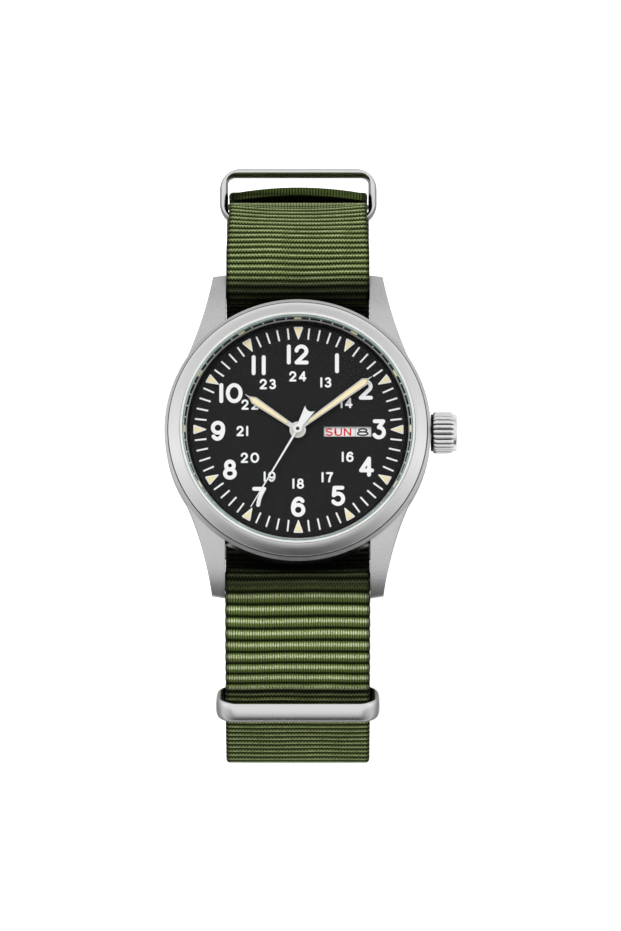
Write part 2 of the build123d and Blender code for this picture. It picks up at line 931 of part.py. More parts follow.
# Clutch wheel: turns with the stem, which slides through its square bore
with BuildPart() as clutch_wheel:
    clutch_module = 2 * clutch_radius / clutch_teeth
    clutch_bore = stem_square + 2 * running_clearance
    extrude(
        gear_outline(Plane.YZ.offset(clutch_x), (0, crown_z), clutch_module, clutch_teeth, 0),
        amount=clutch_length,
    )
    with BuildSketch(Plane.YZ.offset(clutch_x)):
        with Locations((0, crown_z)):
            Rectangle(clutch_bore, clutch_bore)
    extrude(amount=clutch_length, mode=Mode.SUBTRACT)

clutch_wheel.part.label = "clutch_wheel"
export_step(clutch_wheel.part, "parts/clutch_wheel.step")

# Setting lever: swings on the plate's pin, its nose in the stem's groove
lever_pivot = (nose_x + crown_travel / 2, lever_pivot_y)
lever_length = lever_pivot_y - stem_groove_radius - lever_nose_radius - running_clearance
lever_nose = (nose_x, lever_pivot_y - math.sqrt(lever_length**2 - (crown_travel / 2) ** 2))
lever_plane = Plane.XY.offset(crown_z - lever_thickness / 2)
with BuildPart() as setting_lever:
    with BuildSketch(lever_plane):
        with Locations(lever_pivot):
            Circle(lever_radius)
        with BuildLine():
            Line(lever_pivot, lever_nose)
        trace(line_width=lever_width)
        with Locations(lever_nose):
            Circle(lever_nose_radius)
        with Locations(lever_pivot):
            Circle(lever_pin_radius + running_clearance, mode=Mode.SUBTRACT)
    extrude(amount=lever_thickness)

setting_lever.part.label = "setting_lever"
export_step(setting_lever.part, "parts/setting_lever.step")

# Movement ring: centres the movement in the case and carries the dial
with BuildPart() as movement_ring:
    with BuildSketch(Plane.XY.offset(plate_floor_z)):
        Circle(case_bore_radius - movement_ring_gap)
        Circle(movement_radius + movement_ring_gap, mode=Mode.SUBTRACT)
    extrude(amount=dial_bottom_z - plate_floor_z)
    with BuildSketch(Plane.YZ.offset(movement_radius)):
        with Locations((0, crown_z)):
            Circle(tube_bore_radius)
    extrude(amount=case_radius - movement_radius, mode=Mode.SUBTRACT)

movement_ring.part.label = "movement_ring"
export_step(movement_ring.part, "parts/movement_ring.step")

# Places of the shafts and pillars round the axis of the hands
minute_axis = polar(minute_reach, minute_wheel_direction)
third_axis = polar(third_reach, third_direction)
fifth_axis = polar(fifth_reach, fifth_direction)
rotor_axis = (
    fifth_axis[0] + polar(rotor_reach, rotor_direction)[0],
    fifth_axis[1] + polar(rotor_reach, rotor_direction)[1],
)
clamp_post = (battery_x - battery_radius - clamp_post_gap, battery_y)
pillars = [polar(reach, angle) for reach, angle in zip(pillar_reaches, pillar_angles)]
plate_height = plate_bottom - plate_top
arbor_foot = bridge_top - pivot_end_gap
arbor_length = arbor_foot - plate_bottom - pivot_end_gap

# Main plate: recess for the motion works, stem slot, lever pocket and pillars
with BuildPart() as main_plate:
    with BuildSketch(at_depth(plate_bottom)):
        Circle(movement_radius)
    extrude(amount=plate_height)
    extrude(
        discs_outline(at_depth(plate_recess_bottom), [(0, 0)], plate_recess_radius),
        amount=plate_height,
        mode=Mode.SUBTRACT,
    )
    extrude(
        discs_outline(at_depth(plate_recess_bottom), [minute_axis], minute_post_radius),
        amount=plate_recess_bottom - hour_wheel_top,
    )
    extrude(
        discs_outline(at_depth(bridge_top), pillars, pillar_radius),
        amount=bridge_top - plate_bottom,
    )
    extrude(
        discs_outline(at_depth(battery_bottom), [clamp_post], pillar_radius),
        amount=battery_bottom - plate_bottom,
    )
    with BuildSketch(at_depth(plate_bottom + overrun)):
        with Locations(((plate_recess_radius + stem_slot_end) / 2 - overrun, 0)):
            Rectangle(stem_slot_end - plate_recess_radius + 2 * overrun, stem_slot_width)
    extrude(amount=plate_height + 2 * overrun, mode=Mode.SUBTRACT)
    with BuildSketch(Plane.XY.offset(crown_z - lever_thickness)):
        with Locations((lever_pivot[0], lever_pivot_y / 2)):
            Rectangle(lever_pocket_width, lever_pivot_y)
        with Locations(lever_pivot):
            Circle(lever_radius + lever_width)
    extrude(amount=plate_height + overrun, mode=Mode.SUBTRACT)
    with BuildSketch(Plane.XY.offset(crown_z - lever_thickness)):
        with Locations(lever_pivot):
            Circle(lever_pin_radius)
    extrude(amount=1.5 * lever_thickness)
    with BuildSketch(at_depth(plate_bottom + overrun)):
        with Locations((movement_radius, 0)):
            Rectangle(
                2 * (movement_radius - stem_slot_end) + overrun,
                2 * (stem_radius + running_clearance),
            )
    extrude(amount=plate_height + 2 * overrun, mode=Mode.SUBTRACT)
    extrude(
        discs_outline(
            at_depth(plate_bottom + overrun), [(0, 0)], cannon_radius + running_clearance
        ),
        amount=plate_height + overrun,
        mode=Mode.SUBTRACT,
    )

main_plate.part.label = "main_plate"
export_step(main_plate.part, "parts/main_plate.step")

# Train bridge: closes the train from below, on the pillars
with BuildPart() as train_bridge:
    with BuildSketch(at_depth(bridge_bottom)):
        with Locations(*pillars, third_axis, rotor_axis):
            Circle(bridge_arm_radius)
        make_hull()
    extrude(amount=bridge_bottom - bridge_top)

train_bridge.part.label = "train_bridge"
export_step(train_bridge.part, "parts/train_bridge.step")

# Day disc: weekday faces, with a star shaped hole for its drive
with BuildPart() as day_disc:
    star = []
    for index in range(2 * day_count):
        reach = day_disc_hole - day_star_depth * (index % 2)
        star.append(polar(reach, half_circle * index / day_count))
    with BuildSketch(at_depth(disc_top + disc_thickness)):
        Circle(day_disc_radius)
        Polygon(*star, align=None, mode=Mode.SUBTRACT)
    extrude(amount=disc_thickness)

day_disc.part.label = "day_disc"
export_step(day_disc.part, "parts/day_disc.step")

# Date ring: number faces above, inner teeth below
with BuildPart() as date_ring:
    with BuildSketch(at_depth(disc_top + disc_thickness / 2)):
        Circle(date_ring_outer)
        Circle(date_ring_inner, mode=Mode.SUBTRACT)
    extrude(amount=disc_thickness / 2)
    tooth_corners = []
    for index in range(2 * date_count):
        reach = date_ring_inner + date_ring_tooth * (index % 2)
        tooth_corners.append(polar(reach, half_circle * index / date_count))
    with BuildSketch(at_depth(disc_top + disc_thickness)):
        Circle(date_ring_outer)
        Polygon(*tooth_corners, align=None, mode=Mode.SUBTRACT)
    extrude(amount=disc_thickness / 2)

date_ring.part.label = "date_ring"
export_step(date_ring.part, "parts/date_ring.step")

# Hour wheel: meshes with the minute wheel's pinion, its pipe carries the hour hand
with BuildPart() as hour_wheel:
    hour_phase = valley_towards(minute_wheel_direction, hour_wheel_teeth)
    extrude(
        gear_outline(
            at_depth(hour_wheel_bottom), (0, 0), hour_module, hour_wheel_teeth, hour_phase
        ),
        amount=hour_wheel_bottom - hour_wheel_top,
    )
    hour_pipe_height = hour_hub_bottom + hour_hub_height - dial_bottom_z + hour_wheel_bottom
    extrude(
        discs_outline(at_depth(hour_wheel_bottom), [(0, 0)], hour_pipe_radius),
        amount=hour_pipe_height,
    )
    extrude(
        discs_outline(at_depth(hour_wheel_bottom), [(0, 0)], hour_pipe_bore),
        amount=hour_pipe_height,
        mode=Mode.SUBTRACT,
    )

hour_wheel.part.label = "hour_wheel"
export_step(hour_wheel.part, "parts/hour_wheel.step")

# Minute wheel with its pinion, on the plate's post
with BuildPart() as minute_wheel:
    minute_back = minute_wheel_direction + half_circle
    extrude(
        gear_outline(
            at_depth(minute_wheel_bottom),
            minute_axis,
            minute_module,
            minute_wheel_teeth,
            valley_towards(minute_back, minute_wheel_teeth),
        ),
        amount=minute_wheel_bottom - minute_wheel_top,
    )
    extrude(
        gear_outline(
            at_depth(minute_wheel_top),
            minute_axis,
            hour_module,
            minute_pinion_teeth,
            minute_back,
        ),
        amount=minute_wheel_top - hour_wheel_top,
    )
    extrude(
        discs_outline(
            at_depth(minute_wheel_bottom), [minute_axis], minute_post_radius + running_clearance
        ),
        amount=minute_wheel_bottom - hour_wheel_top,
        mode=Mode.SUBTRACT,
    )

minute_wheel.part.label = "minute_wheel"
export_step(minute_wheel.part, "parts/minute_wheel.step")

# Cannon pinion: drives the minute wheel, carries the minute hand
with BuildPart() as cannon_pinion:
    cannon_height = minute_hub_bottom + minute_hub_height - dial_bottom_z + center_hub_top
    extrude(
        gear_outline(
            at_depth(minute_wheel_bottom),
            (0, 0),
            minute_module,
            cannon_teeth,
            minute_wheel_direction,
        ),
        amount=minute_wheel_bottom - minute_wheel_top,
    )
    extrude(
        discs_outline(at_depth(center_hub_top), [(0, 0)], cannon_radius),
        amount=cannon_height,
    )
    extrude(
        discs_outline(at_depth(center_hub_top), [(0, 0)], cannon_bore),
        amount=cannon_height,
        mode=Mode.SUBTRACT,
    )

cannon_pinion.part.label = "cannon_pinion"
export_step(cannon_pinion.part, "parts/cannon_pinion.step")

# Centre wheel: slips against the cannon pinion's foot when the hands are set
with BuildPart() as center_wheel:
    extrude(
        gear_outline(
            at_depth(center_wheel_bottom),
            (0, 0),
            center_module,
            center_wheel_teeth,
            valley_towards(third_direction, center_wheel_teeth),
        ),
        amount=center_wheel_bottom - center_wheel_top,
    )
    extrude(
        discs_outline(at_depth(center_wheel_bottom), [(0, 0)], center_hub_radius),
        amount=center_wheel_bottom - center_hub_top,
    )
    extrude(
        discs_outline(at_depth(center_wheel_bottom), [(0, 0)], cannon_bore),
        amount=center_wheel_bottom - center_hub_top,
        mode=Mode.SUBTRACT,
    )

center_wheel.part.label = "center_wheel"
export_step(center_wheel.part, "parts/center_wheel.step")

# Third wheel with its pinion
with BuildPart() as third_wheel:
    third_back = third_direction + half_circle
    extrude(
        gear_outline(
            at_depth(third_wheel_bottom),
            third_axis,
            third_module,
            third_wheel_teeth,
            valley_towards(third_back, third_wheel_teeth),
        ),
        amount=third_wheel_bottom - third_wheel_top,
    )
    extrude(
        gear_outline(
            at_depth(third_wheel_top), third_axis, center_module, train_pinion_teeth, third_back
        ),
        amount=third_wheel_top - center_wheel_top,
    )
    extrude(
        discs_outline(at_depth(arbor_foot), [third_axis], pivot_radius),
        amount=arbor_length,
    )

third_wheel.part.label = "third_wheel"
export_step(third_wheel.part, "parts/third_wheel.step")

# Fourth wheel with its pinion, on the arbor that carries the seconds hand
with BuildPart() as fourth_wheel:
    extrude(
        gear_outline(
            at_depth(fourth_wheel_bottom),
            (0, 0),
            fourth_module,
            fourth_wheel_teeth,
            valley_towards(fifth_direction, fourth_wheel_teeth),
        ),
        amount=fourth_wheel_bottom - fourth_wheel_top,
    )
    extrude(
        gear_outline(
            at_depth(fourth_wheel_top),
            (0, 0),
            third_module,
            train_pinion_teeth,
            third_direction,
        ),
        amount=fourth_wheel_top - third_wheel_top,
    )
    extrude(
        discs_outline(at_depth(arbor_foot), [(0, 0)], arbor_radius),
        amount=seconds_boss_top - arbor_recess - dial_bottom_z + arbor_foot,
    )

fourth_wheel.part.label = "fourth_wheel"
export_step(fourth_wheel.part, "parts/fourth_wheel.step")

# Fifth wheel with its pinion
with BuildPart() as fifth_wheel:
    fifth_back = fifth_direction + half_circle
    extrude(
        gear_outline(
            at_depth(fifth_wheel_bottom),
            fifth_axis,
            fifth_module,
            fifth_wheel_teeth,
            valley_towards(rotor_direction, fifth_wheel_teeth),
        ),
        amount=fifth_wheel_bottom - fifth_wheel_top,
    )
    extrude(
        gear_outline(
            at_depth(fourth_wheel_bottom),
            fifth_axis,
            fourth_module,
            train_pinion_teeth,
            fifth_back,
        ),
        amount=fourth_wheel_bottom - fifth_wheel_bottom,
    )
    extrude(
        discs_outline(at_depth(arbor_foot), [fifth_axis], pivot_radius),
        amount=arbor_length,
    )

fifth_wheel.part.label = "fifth_wheel"
export_step(fifth_wheel.part, "parts/fifth_wheel.step")

# Rotor: magnet and pinion of the stepping motor
with BuildPart() as rotor:
    extrude(
        discs_outline(at_depth(rotor_bottom), [rotor_axis], rotor_radius),
        amount=rotor_bottom - rotor_top,
    )
    extrude(
        gear_outline(
            at_depth(fifth_wheel_bottom),
            rotor_axis,
            fifth_module,
            train_pinion_teeth,
            rotor_direction + half_circle,
        ),
        amount=fifth_wheel_bottom - fifth_wheel_top,
    )
    extrude(
        discs_outline(at_depth(arbor_foot), [rotor_axis], pivot_radius),
        amount=arbor_length,
    )

rotor.part.label = "rotor"
export_step(rotor.part, "parts/rotor.step")

# Stator: thin iron yoke from the rotor to both ends of the coil
leg_reach = coil_half_length + coil_tab_length / 2
leg_length = coil_y - rotor_axis[1]
with BuildPart() as stator:
    with BuildSketch(at_depth(stator_bottom)):
        with Locations(rotor_axis):
            Rectangle(2 * leg_reach, stator_arm_width)
            Circle(stator_hole_radius + stator_arm_width / 2)
        with Locations(
            (rotor_axis[0] - leg_reach, rotor_axis[1] + leg_length / 2),
            (rotor_axis[0] + leg_reach, rotor_axis[1] + leg_length / 2),
        ):
            Rectangle(stator_arm_width, leg_length + stator_arm_width)
        with Locations(rotor_axis):
            Circle(stator_hole_radius, mode=Mode.SUBTRACT)
    extrude(amount=stator_bottom - stator_top)

stator.part.label = "stator"
export_step(stator.part, "parts/stator.step")

# Coil: winding on a core with a tab under each leg of the stator
coil_z = dial_bottom_z - coil_depth
with BuildPart() as coil:
    with BuildSketch(Plane.YZ.offset(rotor_axis[0])):
        with Locations((coil_y, coil_z)):
            Circle(coil_radius)
    extrude(amount=coil_half_length - coil_tab_length / 4, both=True)
    with BuildSketch(Plane.YZ.offset(rotor_axis[0])):
        with Locations((coil_y, coil_z)):
            Circle(coil_core_radius)
    extrude(amount=coil_half_length + coil_tab_length / 2, both=True)
    with BuildSketch(at_depth(coil_depth + coil_core_radius)):
        with Locations(
            (rotor_axis[0] - leg_reach, coil_y), (rotor_axis[0] + leg_reach, coil_y)
        ):
            Rectangle(coil_tab_length, stator_arm_width)
    extrude(amount=coil_depth + coil_core_radius - stator_bottom)

coil.part.label = "coil"
export_step(coil.part, "parts/coil.step")

# Battery: button cell with a raised terminal
with BuildPart() as battery:
    with BuildSketch(at_depth(battery_bottom)):
        with Locations((battery_x, battery_y)):
            Circle(battery_radius)
    extrude(amount=battery_bottom - battery_top - battery_lip)
    with BuildSketch(at_depth(battery_top + battery_lip)):
        with Locations((battery_x, battery_y)):
            Circle(battery_radius - 2 * battery_lip)
    extrude(amount=battery_lip)

battery.part.label = "battery"
export_step(battery.part, "parts/battery.step")

# Battery clamp: springy strip on its post
with BuildPart() as battery_clamp:
    clamp_length = battery_x + battery_radius * clamp_cover_share - clamp_post[0]
    with BuildSketch(at_depth(battery_bottom + clamp_thickness)):
        with Locations((clamp_post[0] + clamp_length / 2, battery_y)):
            SlotOverall(clamp_length + clamp_width, clamp_width)
    extrude(amount=clamp_thickness)

battery_clamp.part.label = "battery_clamp"
export_step(battery_clamp.part, "parts/battery_clamp.step")

# Circuit board: a curved strip along the edge of the plate
with BuildPart() as circuit_board:
    board_middle = (board_inner_radius + board_outer_radius) / 2
    with BuildSketch(at_depth(board_bottom)):
        with BuildLine():
            CenterArc((0, 0), board_middle, board_start_angle, board_sweep_angle)
        trace(line_width=board_outer_radius - board_inner_radius)
    extrude(amount=board_bottom - board_top)

circuit_board.part.label = "circuit_board"
export_step(circuit_board.part, "parts/circuit_board.step")

# Quartz can: the small cylinder that holds the crystal resonator
with BuildPart() as quartz_can:
    can_place = polar(can_reach, can_angle)
    can_plane = Plane(
        origin=(can_place[0], can_place[1], dial_bottom_z - board_bottom - can_radius),
        x_dir=(0, 0, 1),
        z_dir=(*polar(1, can_angle + 90), 0),
    )
    with BuildSketch(can_plane):
        Circle(can_radius)
    extrude(amount=can_length / 2, both=True)

quartz_can.part.label = "quartz_can"
export_step(quartz_can.part, "parts/quartz_can.step")

# Spring bars: tube, spring and a sliding tip at each end, for both pairs of lugs
tip_inner_x = bar_tip_reach - bar_tip_length
for bar_name, bar_y in (("12", spring_bar_y), ("6", -spring_bar_y)):
    with BuildPart() as spring_bar:
        with BuildSketch(Plane.YZ):
            with Locations((bar_y, spring_bar_z)):
                Circle(spring_bar_radius)
                Circle(spring_bar_bore, mode=Mode.SUBTRACT)
        extrude(amount=spring_bar_half_length, both=True)
    spring_bar.part.label = "spring_bar_" + bar_name
    export_step(spring_bar.part, "parts/spring_bar_" + bar_name + ".step")

    with BuildPart() as bar_spring:
        with BuildSketch(Plane.YZ):
            with Locations((bar_y, spring_bar_z)):
                Circle(bar_tip_radius)
        extrude(amount=tip_inner_x - bar_tip_travel, both=True)
    bar_spring.part.label = "bar_spring_" + bar_name
    export_step(bar_spring.part, "parts/bar_spring_" + bar_name + ".step")

    for side_name, side in (("right", 1), ("left", -1)):
        with BuildPart() as bar_tip:
            with BuildSketch(Plane.YZ.offset(side * tip_inner_x)):
                with Locations((bar_y, spring_bar_z)):
                    Circle(bar_tip_radius)
            extrude(amount=side * bar_tip_length)
        bar_tip.part.label = "bar_tip_" + bar_name + "_" + side_name
        export_step(bar_tip.part, "parts/bar_tip_" + bar_name + "_" + side_name + ".step")

# Places on the strap's route that follow from the hardware
bar_route_radius = spring_bar_radius + bar_strap_clearance + strap_thickness / 2
bar_side_y = spring_bar_y - bar_route_radius
bar_top_z = spring_bar_z + bar_route_radius
eye_front_y = buckle_bar_y - eye_route_radius
eye_bottom_z = -short_band_z - 2 * eye_route_radius
tail_ramp_z = eye_bottom_z - strap_thickness - layer_gap
tail_z = -long_band_z - strap_thickness - layer_gap
keeper_bar_span = keeper_height - keeper_thickness
ring_to_band = keeper_thickness / 2 + keeper_strap_gap + strap_thickness / 2
upright_y = tail_keeper_inner_y + ring_to_band
lean_z = top_crest_z - (upright_y - top_crest_y) / top_lean_share
slope_x = math.cos(math.radians(case_keeper_slope))
slope_y = math.sin(math.radians(case_keeper_slope))
fold_half = keeper_thickness / 2 + keeper_fold_clearance + strap_thickness / 2
fold_reach = keeper_depth / 2 + keeper_fold_clearance + strap_thickness / 2
under_keeper = keeper_bar_span - ring_to_band


def from_case_keeper(along, outward):
    """Point in the YZ plane, from the rear bar of the keeper on the 6 o'clock side."""
    return (
        case_keeper_bar_y - along * slope_x - outward * slope_y,
        case_keeper_bar_z - along * slope_y + outward * slope_x,
    )


# Long band: buckle eye, up the 12 o'clock side, over both bars, back through the buckle
with BuildPart() as long_band:
    extrude(
        band_outline(
            [
                (fold_back_end_y, -short_band_z),
                (eye_front_y, -short_band_z),
                (eye_front_y, eye_bottom_z),
                (eye_exit_y, eye_bottom_z),
                (eye_exit_y + eye_exit_run, -long_band_z),
                (upright_y, -long_band_z),
                (upright_y, lean_z),
                (top_crest_y, top_crest_z),
                (top_slope_corner_y, bar_top_z),
                (bar_side_y, bar_top_z),
                (bar_side_y, long_band_z),
                (-bar_side_y, long_band_z),
                (-bar_side_y, bar_top_z),
                (low_slope_corner_y, bar_top_z),
                from_case_keeper(-low_dip_run, under_keeper),
                from_case_keeper(low_exit_run, under_keeper),
                (low_horizon_y, low_horizon_z),
                (low_horizon_y + low_lean, -long_band_z),
                (ramp_start_y, -long_band_z),
                (ramp_end_y, tail_ramp_z),
                (tail_merge_start_y, tail_ramp_z),
                (tail_merge_end_y, tail_z),
                (tail_y, tail_z),
                (tail_y, tail_top_z),
            ],
            [
                eye_route_radius * fold_share,
                eye_route_radius * fold_share,
                ramp_bend,
                ramp_bend,
                bottom_corner_radius,
                lean_bend,
                top_crest_bend,
                top_arch_radius,
                bar_route_radius * fold_share,
                case_side_bend,
                case_side_bend,
                bar_route_radius * fold_share,
                low_arch_radius,
                low_bend_radius,
                low_bend_radius,
                low_bend_radius,
                low_corner_radius,
                ramp_bend,
                ramp_bend,
                ramp_bend,
                ramp_bend,
                tail_corner_radius,
            ],
            strap_thickness,
        ),
        amount=strap_width / 2,
        both=True,
    )
    with BuildSketch(Plane.YZ):
        with Locations(((eye_front_y + buckle_bar_y) / 2, buckle_bar_z)):
            Rectangle(
                2 * eye_route_radius + 2 * tang_eye_radius - strap_thickness / 2,
                2 * eye_route_radius + strap_thickness + layer_gap / 2,
            )
    extrude(amount=strap_eye_slot_width / 2, both=True, mode=Mode.SUBTRACT)
    with BuildSketch(Plane.YZ):
        with Locations((tang_hole_y, (tail_ramp_z - long_band_z) / 2)):
            Rectangle(tang_hole_length, 4 * strap_thickness)
    extrude(amount=strap_hole_width / 2, both=True, mode=Mode.SUBTRACT)
    hole_floor_z = tail_z - strap_thickness
    with BuildSketch(Plane.XY.offset(hole_floor_z)):
        with Locations(*[(0, hole_y) for hole_y in free_hole_ys]):
            SlotOverall(strap_hole_length, strap_hole_width, rotation=90)
    extrude(amount=strap_thickness - long_band_z - hole_floor_z, mode=Mode.SUBTRACT)
    with BuildSketch(Plane.XY.offset(hole_floor_z)):
        with Locations((0, tail_hole_y)):
            SlotOverall(strap_hole_length, strap_hole_width, rotation=90)
    extrude(amount=1.5 * strap_thickness + layer_gap / 2, mode=Mode.SUBTRACT)

long_band.part.label = "long_band"
export_step(long_band.part, "parts/long_band.step")

# Short band: beside the fold, inside the long band, to the keeper on the 6 side
with BuildPart() as short_band:
    short_y = tail_keeper_inner_y - keeper_thickness / 2 - layer_gap - strap_thickness / 2
    slope_start = (short_band_z - from_case_keeper(0, fold_half)[1]) / slope_y
    extrude(
        band_outline(
            [
                (short_band_start_y, -short_band_z),
                (short_y, -short_band_z),
                (short_y, short_pocket_z),
                (short_corner_y, short_band_z),
                from_case_keeper(-slope_start, fold_half),
                from_case_keeper(fold_reach, fold_half),
                from_case_keeper(fold_reach, -fold_half),
                from_case_keeper(-fold_return_length, -fold_half),
            ],
            [
                short_bottom_radius,
                short_pocket_bend,
                short_corner_bend,
                short_slope_bend,
                fold_half * fold_share,
                fold_half * fold_share,
            ],
            strap_thickness,
        ),
        amount=strap_width / 2,
        both=True,
    )
    fold_plane = Plane(
        origin=(0, *from_case_keeper(0, 0)), x_dir=(1, 0, 0), z_dir=(0, -slope_y, slope_x)
    )
    with BuildSketch(fold_plane):
        with Locations((strap_width / 2, 0), (-strap_width / 2, 0)):
            Rectangle(2 * fold_relief_width, 2 * fold_reach + 2 * strap_thickness)
    extrude(amount=fold_half + strap_thickness, both=True, mode=Mode.SUBTRACT)

short_band.part.label = "short_band"
export_step(short_band.part, "parts/short_band.step")

# Tail keeper: metal ring sewn between the bands, round the long band and the tail
with BuildPart() as tail_keeper:
    tail_keeper_plane = Plane(
        origin=(0, tail_keeper_inner_y + keeper_bar_span / 2, tail_keeper_z),
        x_dir=(1, 0, 0),
        z_dir=(0, 0, 1),
    )
    extrude(keeper_outline(tail_keeper_plane), amount=keeper_depth / 2, both=True)
    rims = tail_keeper.faces().filter_by(Axis.Z)
    chamfer(rims.edges(), keeper_edge_chamfer)

tail_keeper.part.label = "tail_keeper"
export_step(tail_keeper.part, "parts/tail_keeper.step")

# Case keeper: metal ring at the end of the short band, round the long band
with BuildPart() as case_keeper:
    case_keeper_plane = Plane(
        origin=(0, *from_case_keeper(0, keeper_bar_span / 2)),
        x_dir=(1, 0, 0),
        z_dir=(0, slope_x, slope_y),
    )
    extrude(keeper_outline(case_keeper_plane), amount=keeper_depth / 2, both=True)
    rims = case_keeper.faces().filter_by(case_keeper_plane)
    chamfer(rims.edges(), keeper_edge_chamfer)

case_keeper.part.label = "case_keeper"
export_step(case_keeper.part, "parts/case_keeper.step")

# Buckle frame: flat crossbar, arms that rise to the bar
buckle_flat_length = buckle_flat_end_y - buckle_front_y
with BuildPart() as buckle_frame:
    with BuildSketch(Plane.YZ):
        with Locations((buckle_bar_y, buckle_bar_z)):
            Circle(buckle_boss_radius)
        with Locations(
            (buckle_front_y + buckle_flat_length / 2, floor_z + buckle_crossbar_height / 2)
        ):
            RectangleRounded(buckle_flat_length, buckle_crossbar_height, buckle_edge_fillet)
        make_hull()
    extrude(amount=buckle_outer_width / 2, both=True)
    frame_length = buckle_bar_y + buckle_boss_radius - buckle_front_y
    with BuildSketch(Plane.XY.offset(floor_z - overrun)):
        with Locations((0, buckle_front_y + (frame_length + overrun) / 2)):
            RectangleRounded(buckle_outer_width, frame_length + overrun, buckle_corner)
    extrude(amount=2 * buckle_floor_drop, mode=Mode.INTERSECT)
    with BuildSketch(Plane.XY.offset(floor_z - overrun)):
        with Locations((0, buckle_front_y + buckle_crossbar_width + frame_length / 2)):
            RectangleRounded(buckle_inner_width, frame_length, buckle_corner / 2)
    extrude(amount=2 * buckle_floor_drop, mode=Mode.SUBTRACT)
    tang_z = floor_z + tang_floor_gap + tang_thickness / 2
    with BuildSketch(Plane.XY.offset(floor_z)):
        with Locations((0, buckle_front_y)):
            Rectangle(
                tang_width + 2 * tang_notch_clearance, 2 * buckle_crossbar_width + 2 * overrun
            )
    extrude(amount=2 * tang_floor_gap + tang_thickness, mode=Mode.SUBTRACT)
    with BuildSketch(Plane.YZ):
        with Locations((buckle_bar_y, buckle_bar_z)):
            Circle(buckle_bar_radius)
    extrude(amount=buckle_outer_width / 2, both=True, mode=Mode.SUBTRACT)

buckle_frame.part.label = "buckle_frame"
export_step(buckle_frame.part, "parts/buckle_frame.step")

# Buckle bar: through both arms and the strap's eye
with BuildPart() as buckle_bar:
    with BuildSketch(Plane.YZ):
        with Locations((buckle_bar_y, buckle_bar_z)):
            Circle(buckle_bar_radius)
    extrude(amount=buckle_outer_width / 2 - buckle_bar_inset, both=True)

buckle_bar.part.label = "buckle_bar"
export_step(buckle_bar.part, "parts/buckle_bar.step")

# Buckle tang: turns on the bar, through the strap's hole, onto the crossbar
with BuildPart() as buckle_tang:
    with BuildSketch(Plane.YZ):
        with Locations((buckle_bar_y, buckle_bar_z)):
            Circle(tang_eye_radius)
    extrude(amount=tang_eye_width / 2, both=True)
    extrude(
        band_outline(
            [
                (tang_start_y, tang_start_z),
                (tang_knee_y, tang_z),
                (buckle_front_y - tang_overhang, tang_z),
            ],
            [2 * tang_thickness],
            tang_thickness,
        ),
        amount=tang_width / 2,
        both=True,
    )
    with BuildSketch(Plane.YZ):
        with Locations((buckle_bar_y, buckle_bar_z)):
            Circle(buckle_bar_radius + running_clearance)
    extrude(amount=tang_eye_width / 2, both=True, mode=Mode.SUBTRACT)

buckle_tang.part.label = "buckle_tang"
export_step(buckle_tang.part, "parts/buckle_tang.step")
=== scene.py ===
"""Field watch on a pass-through webbing strap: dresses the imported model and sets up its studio."""

import enum
import functools
import logging
import math
from dataclasses import dataclass, field
from typing import Sequence

import bmesh
import bpy
from mathutils import Matrix, Vector


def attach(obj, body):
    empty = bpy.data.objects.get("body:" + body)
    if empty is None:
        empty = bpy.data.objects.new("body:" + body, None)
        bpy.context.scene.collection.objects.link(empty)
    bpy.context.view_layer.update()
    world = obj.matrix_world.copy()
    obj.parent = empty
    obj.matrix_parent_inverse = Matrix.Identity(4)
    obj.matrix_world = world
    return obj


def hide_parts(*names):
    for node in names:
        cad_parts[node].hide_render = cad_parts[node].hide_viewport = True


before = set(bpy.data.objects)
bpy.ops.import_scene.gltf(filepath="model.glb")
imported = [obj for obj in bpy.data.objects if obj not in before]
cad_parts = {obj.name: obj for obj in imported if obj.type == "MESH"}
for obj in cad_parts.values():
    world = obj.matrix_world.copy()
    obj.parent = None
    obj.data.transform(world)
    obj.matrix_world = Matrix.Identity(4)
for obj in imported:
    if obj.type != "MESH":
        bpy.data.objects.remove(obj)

MM = 0.001
WEBBING_WIDTH = 20.26
FINE_PITCH = 0.82
COARSE_PITCH = 1.68
SHELTER_SAMPLES = 6
# Near-black colour of painted shade in hollows.
HOLLOW_SHADE_BLACK = (0.02, 0.02, 0.02)
Colour = tuple[float, float, float]
Point = tuple[float, float]
Mesh = bpy.types.Mesh
Socket = bpy.types.NodeSocket
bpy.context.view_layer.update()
log = logging.getLogger("field_watch")


class Grain(enum.Enum):
    """Direction in which a metal face is brushed."""

    EVEN = "even"
    ROUND = "round"
    ALONG_X = "along_x"
    ALONG_Y = "along_y"


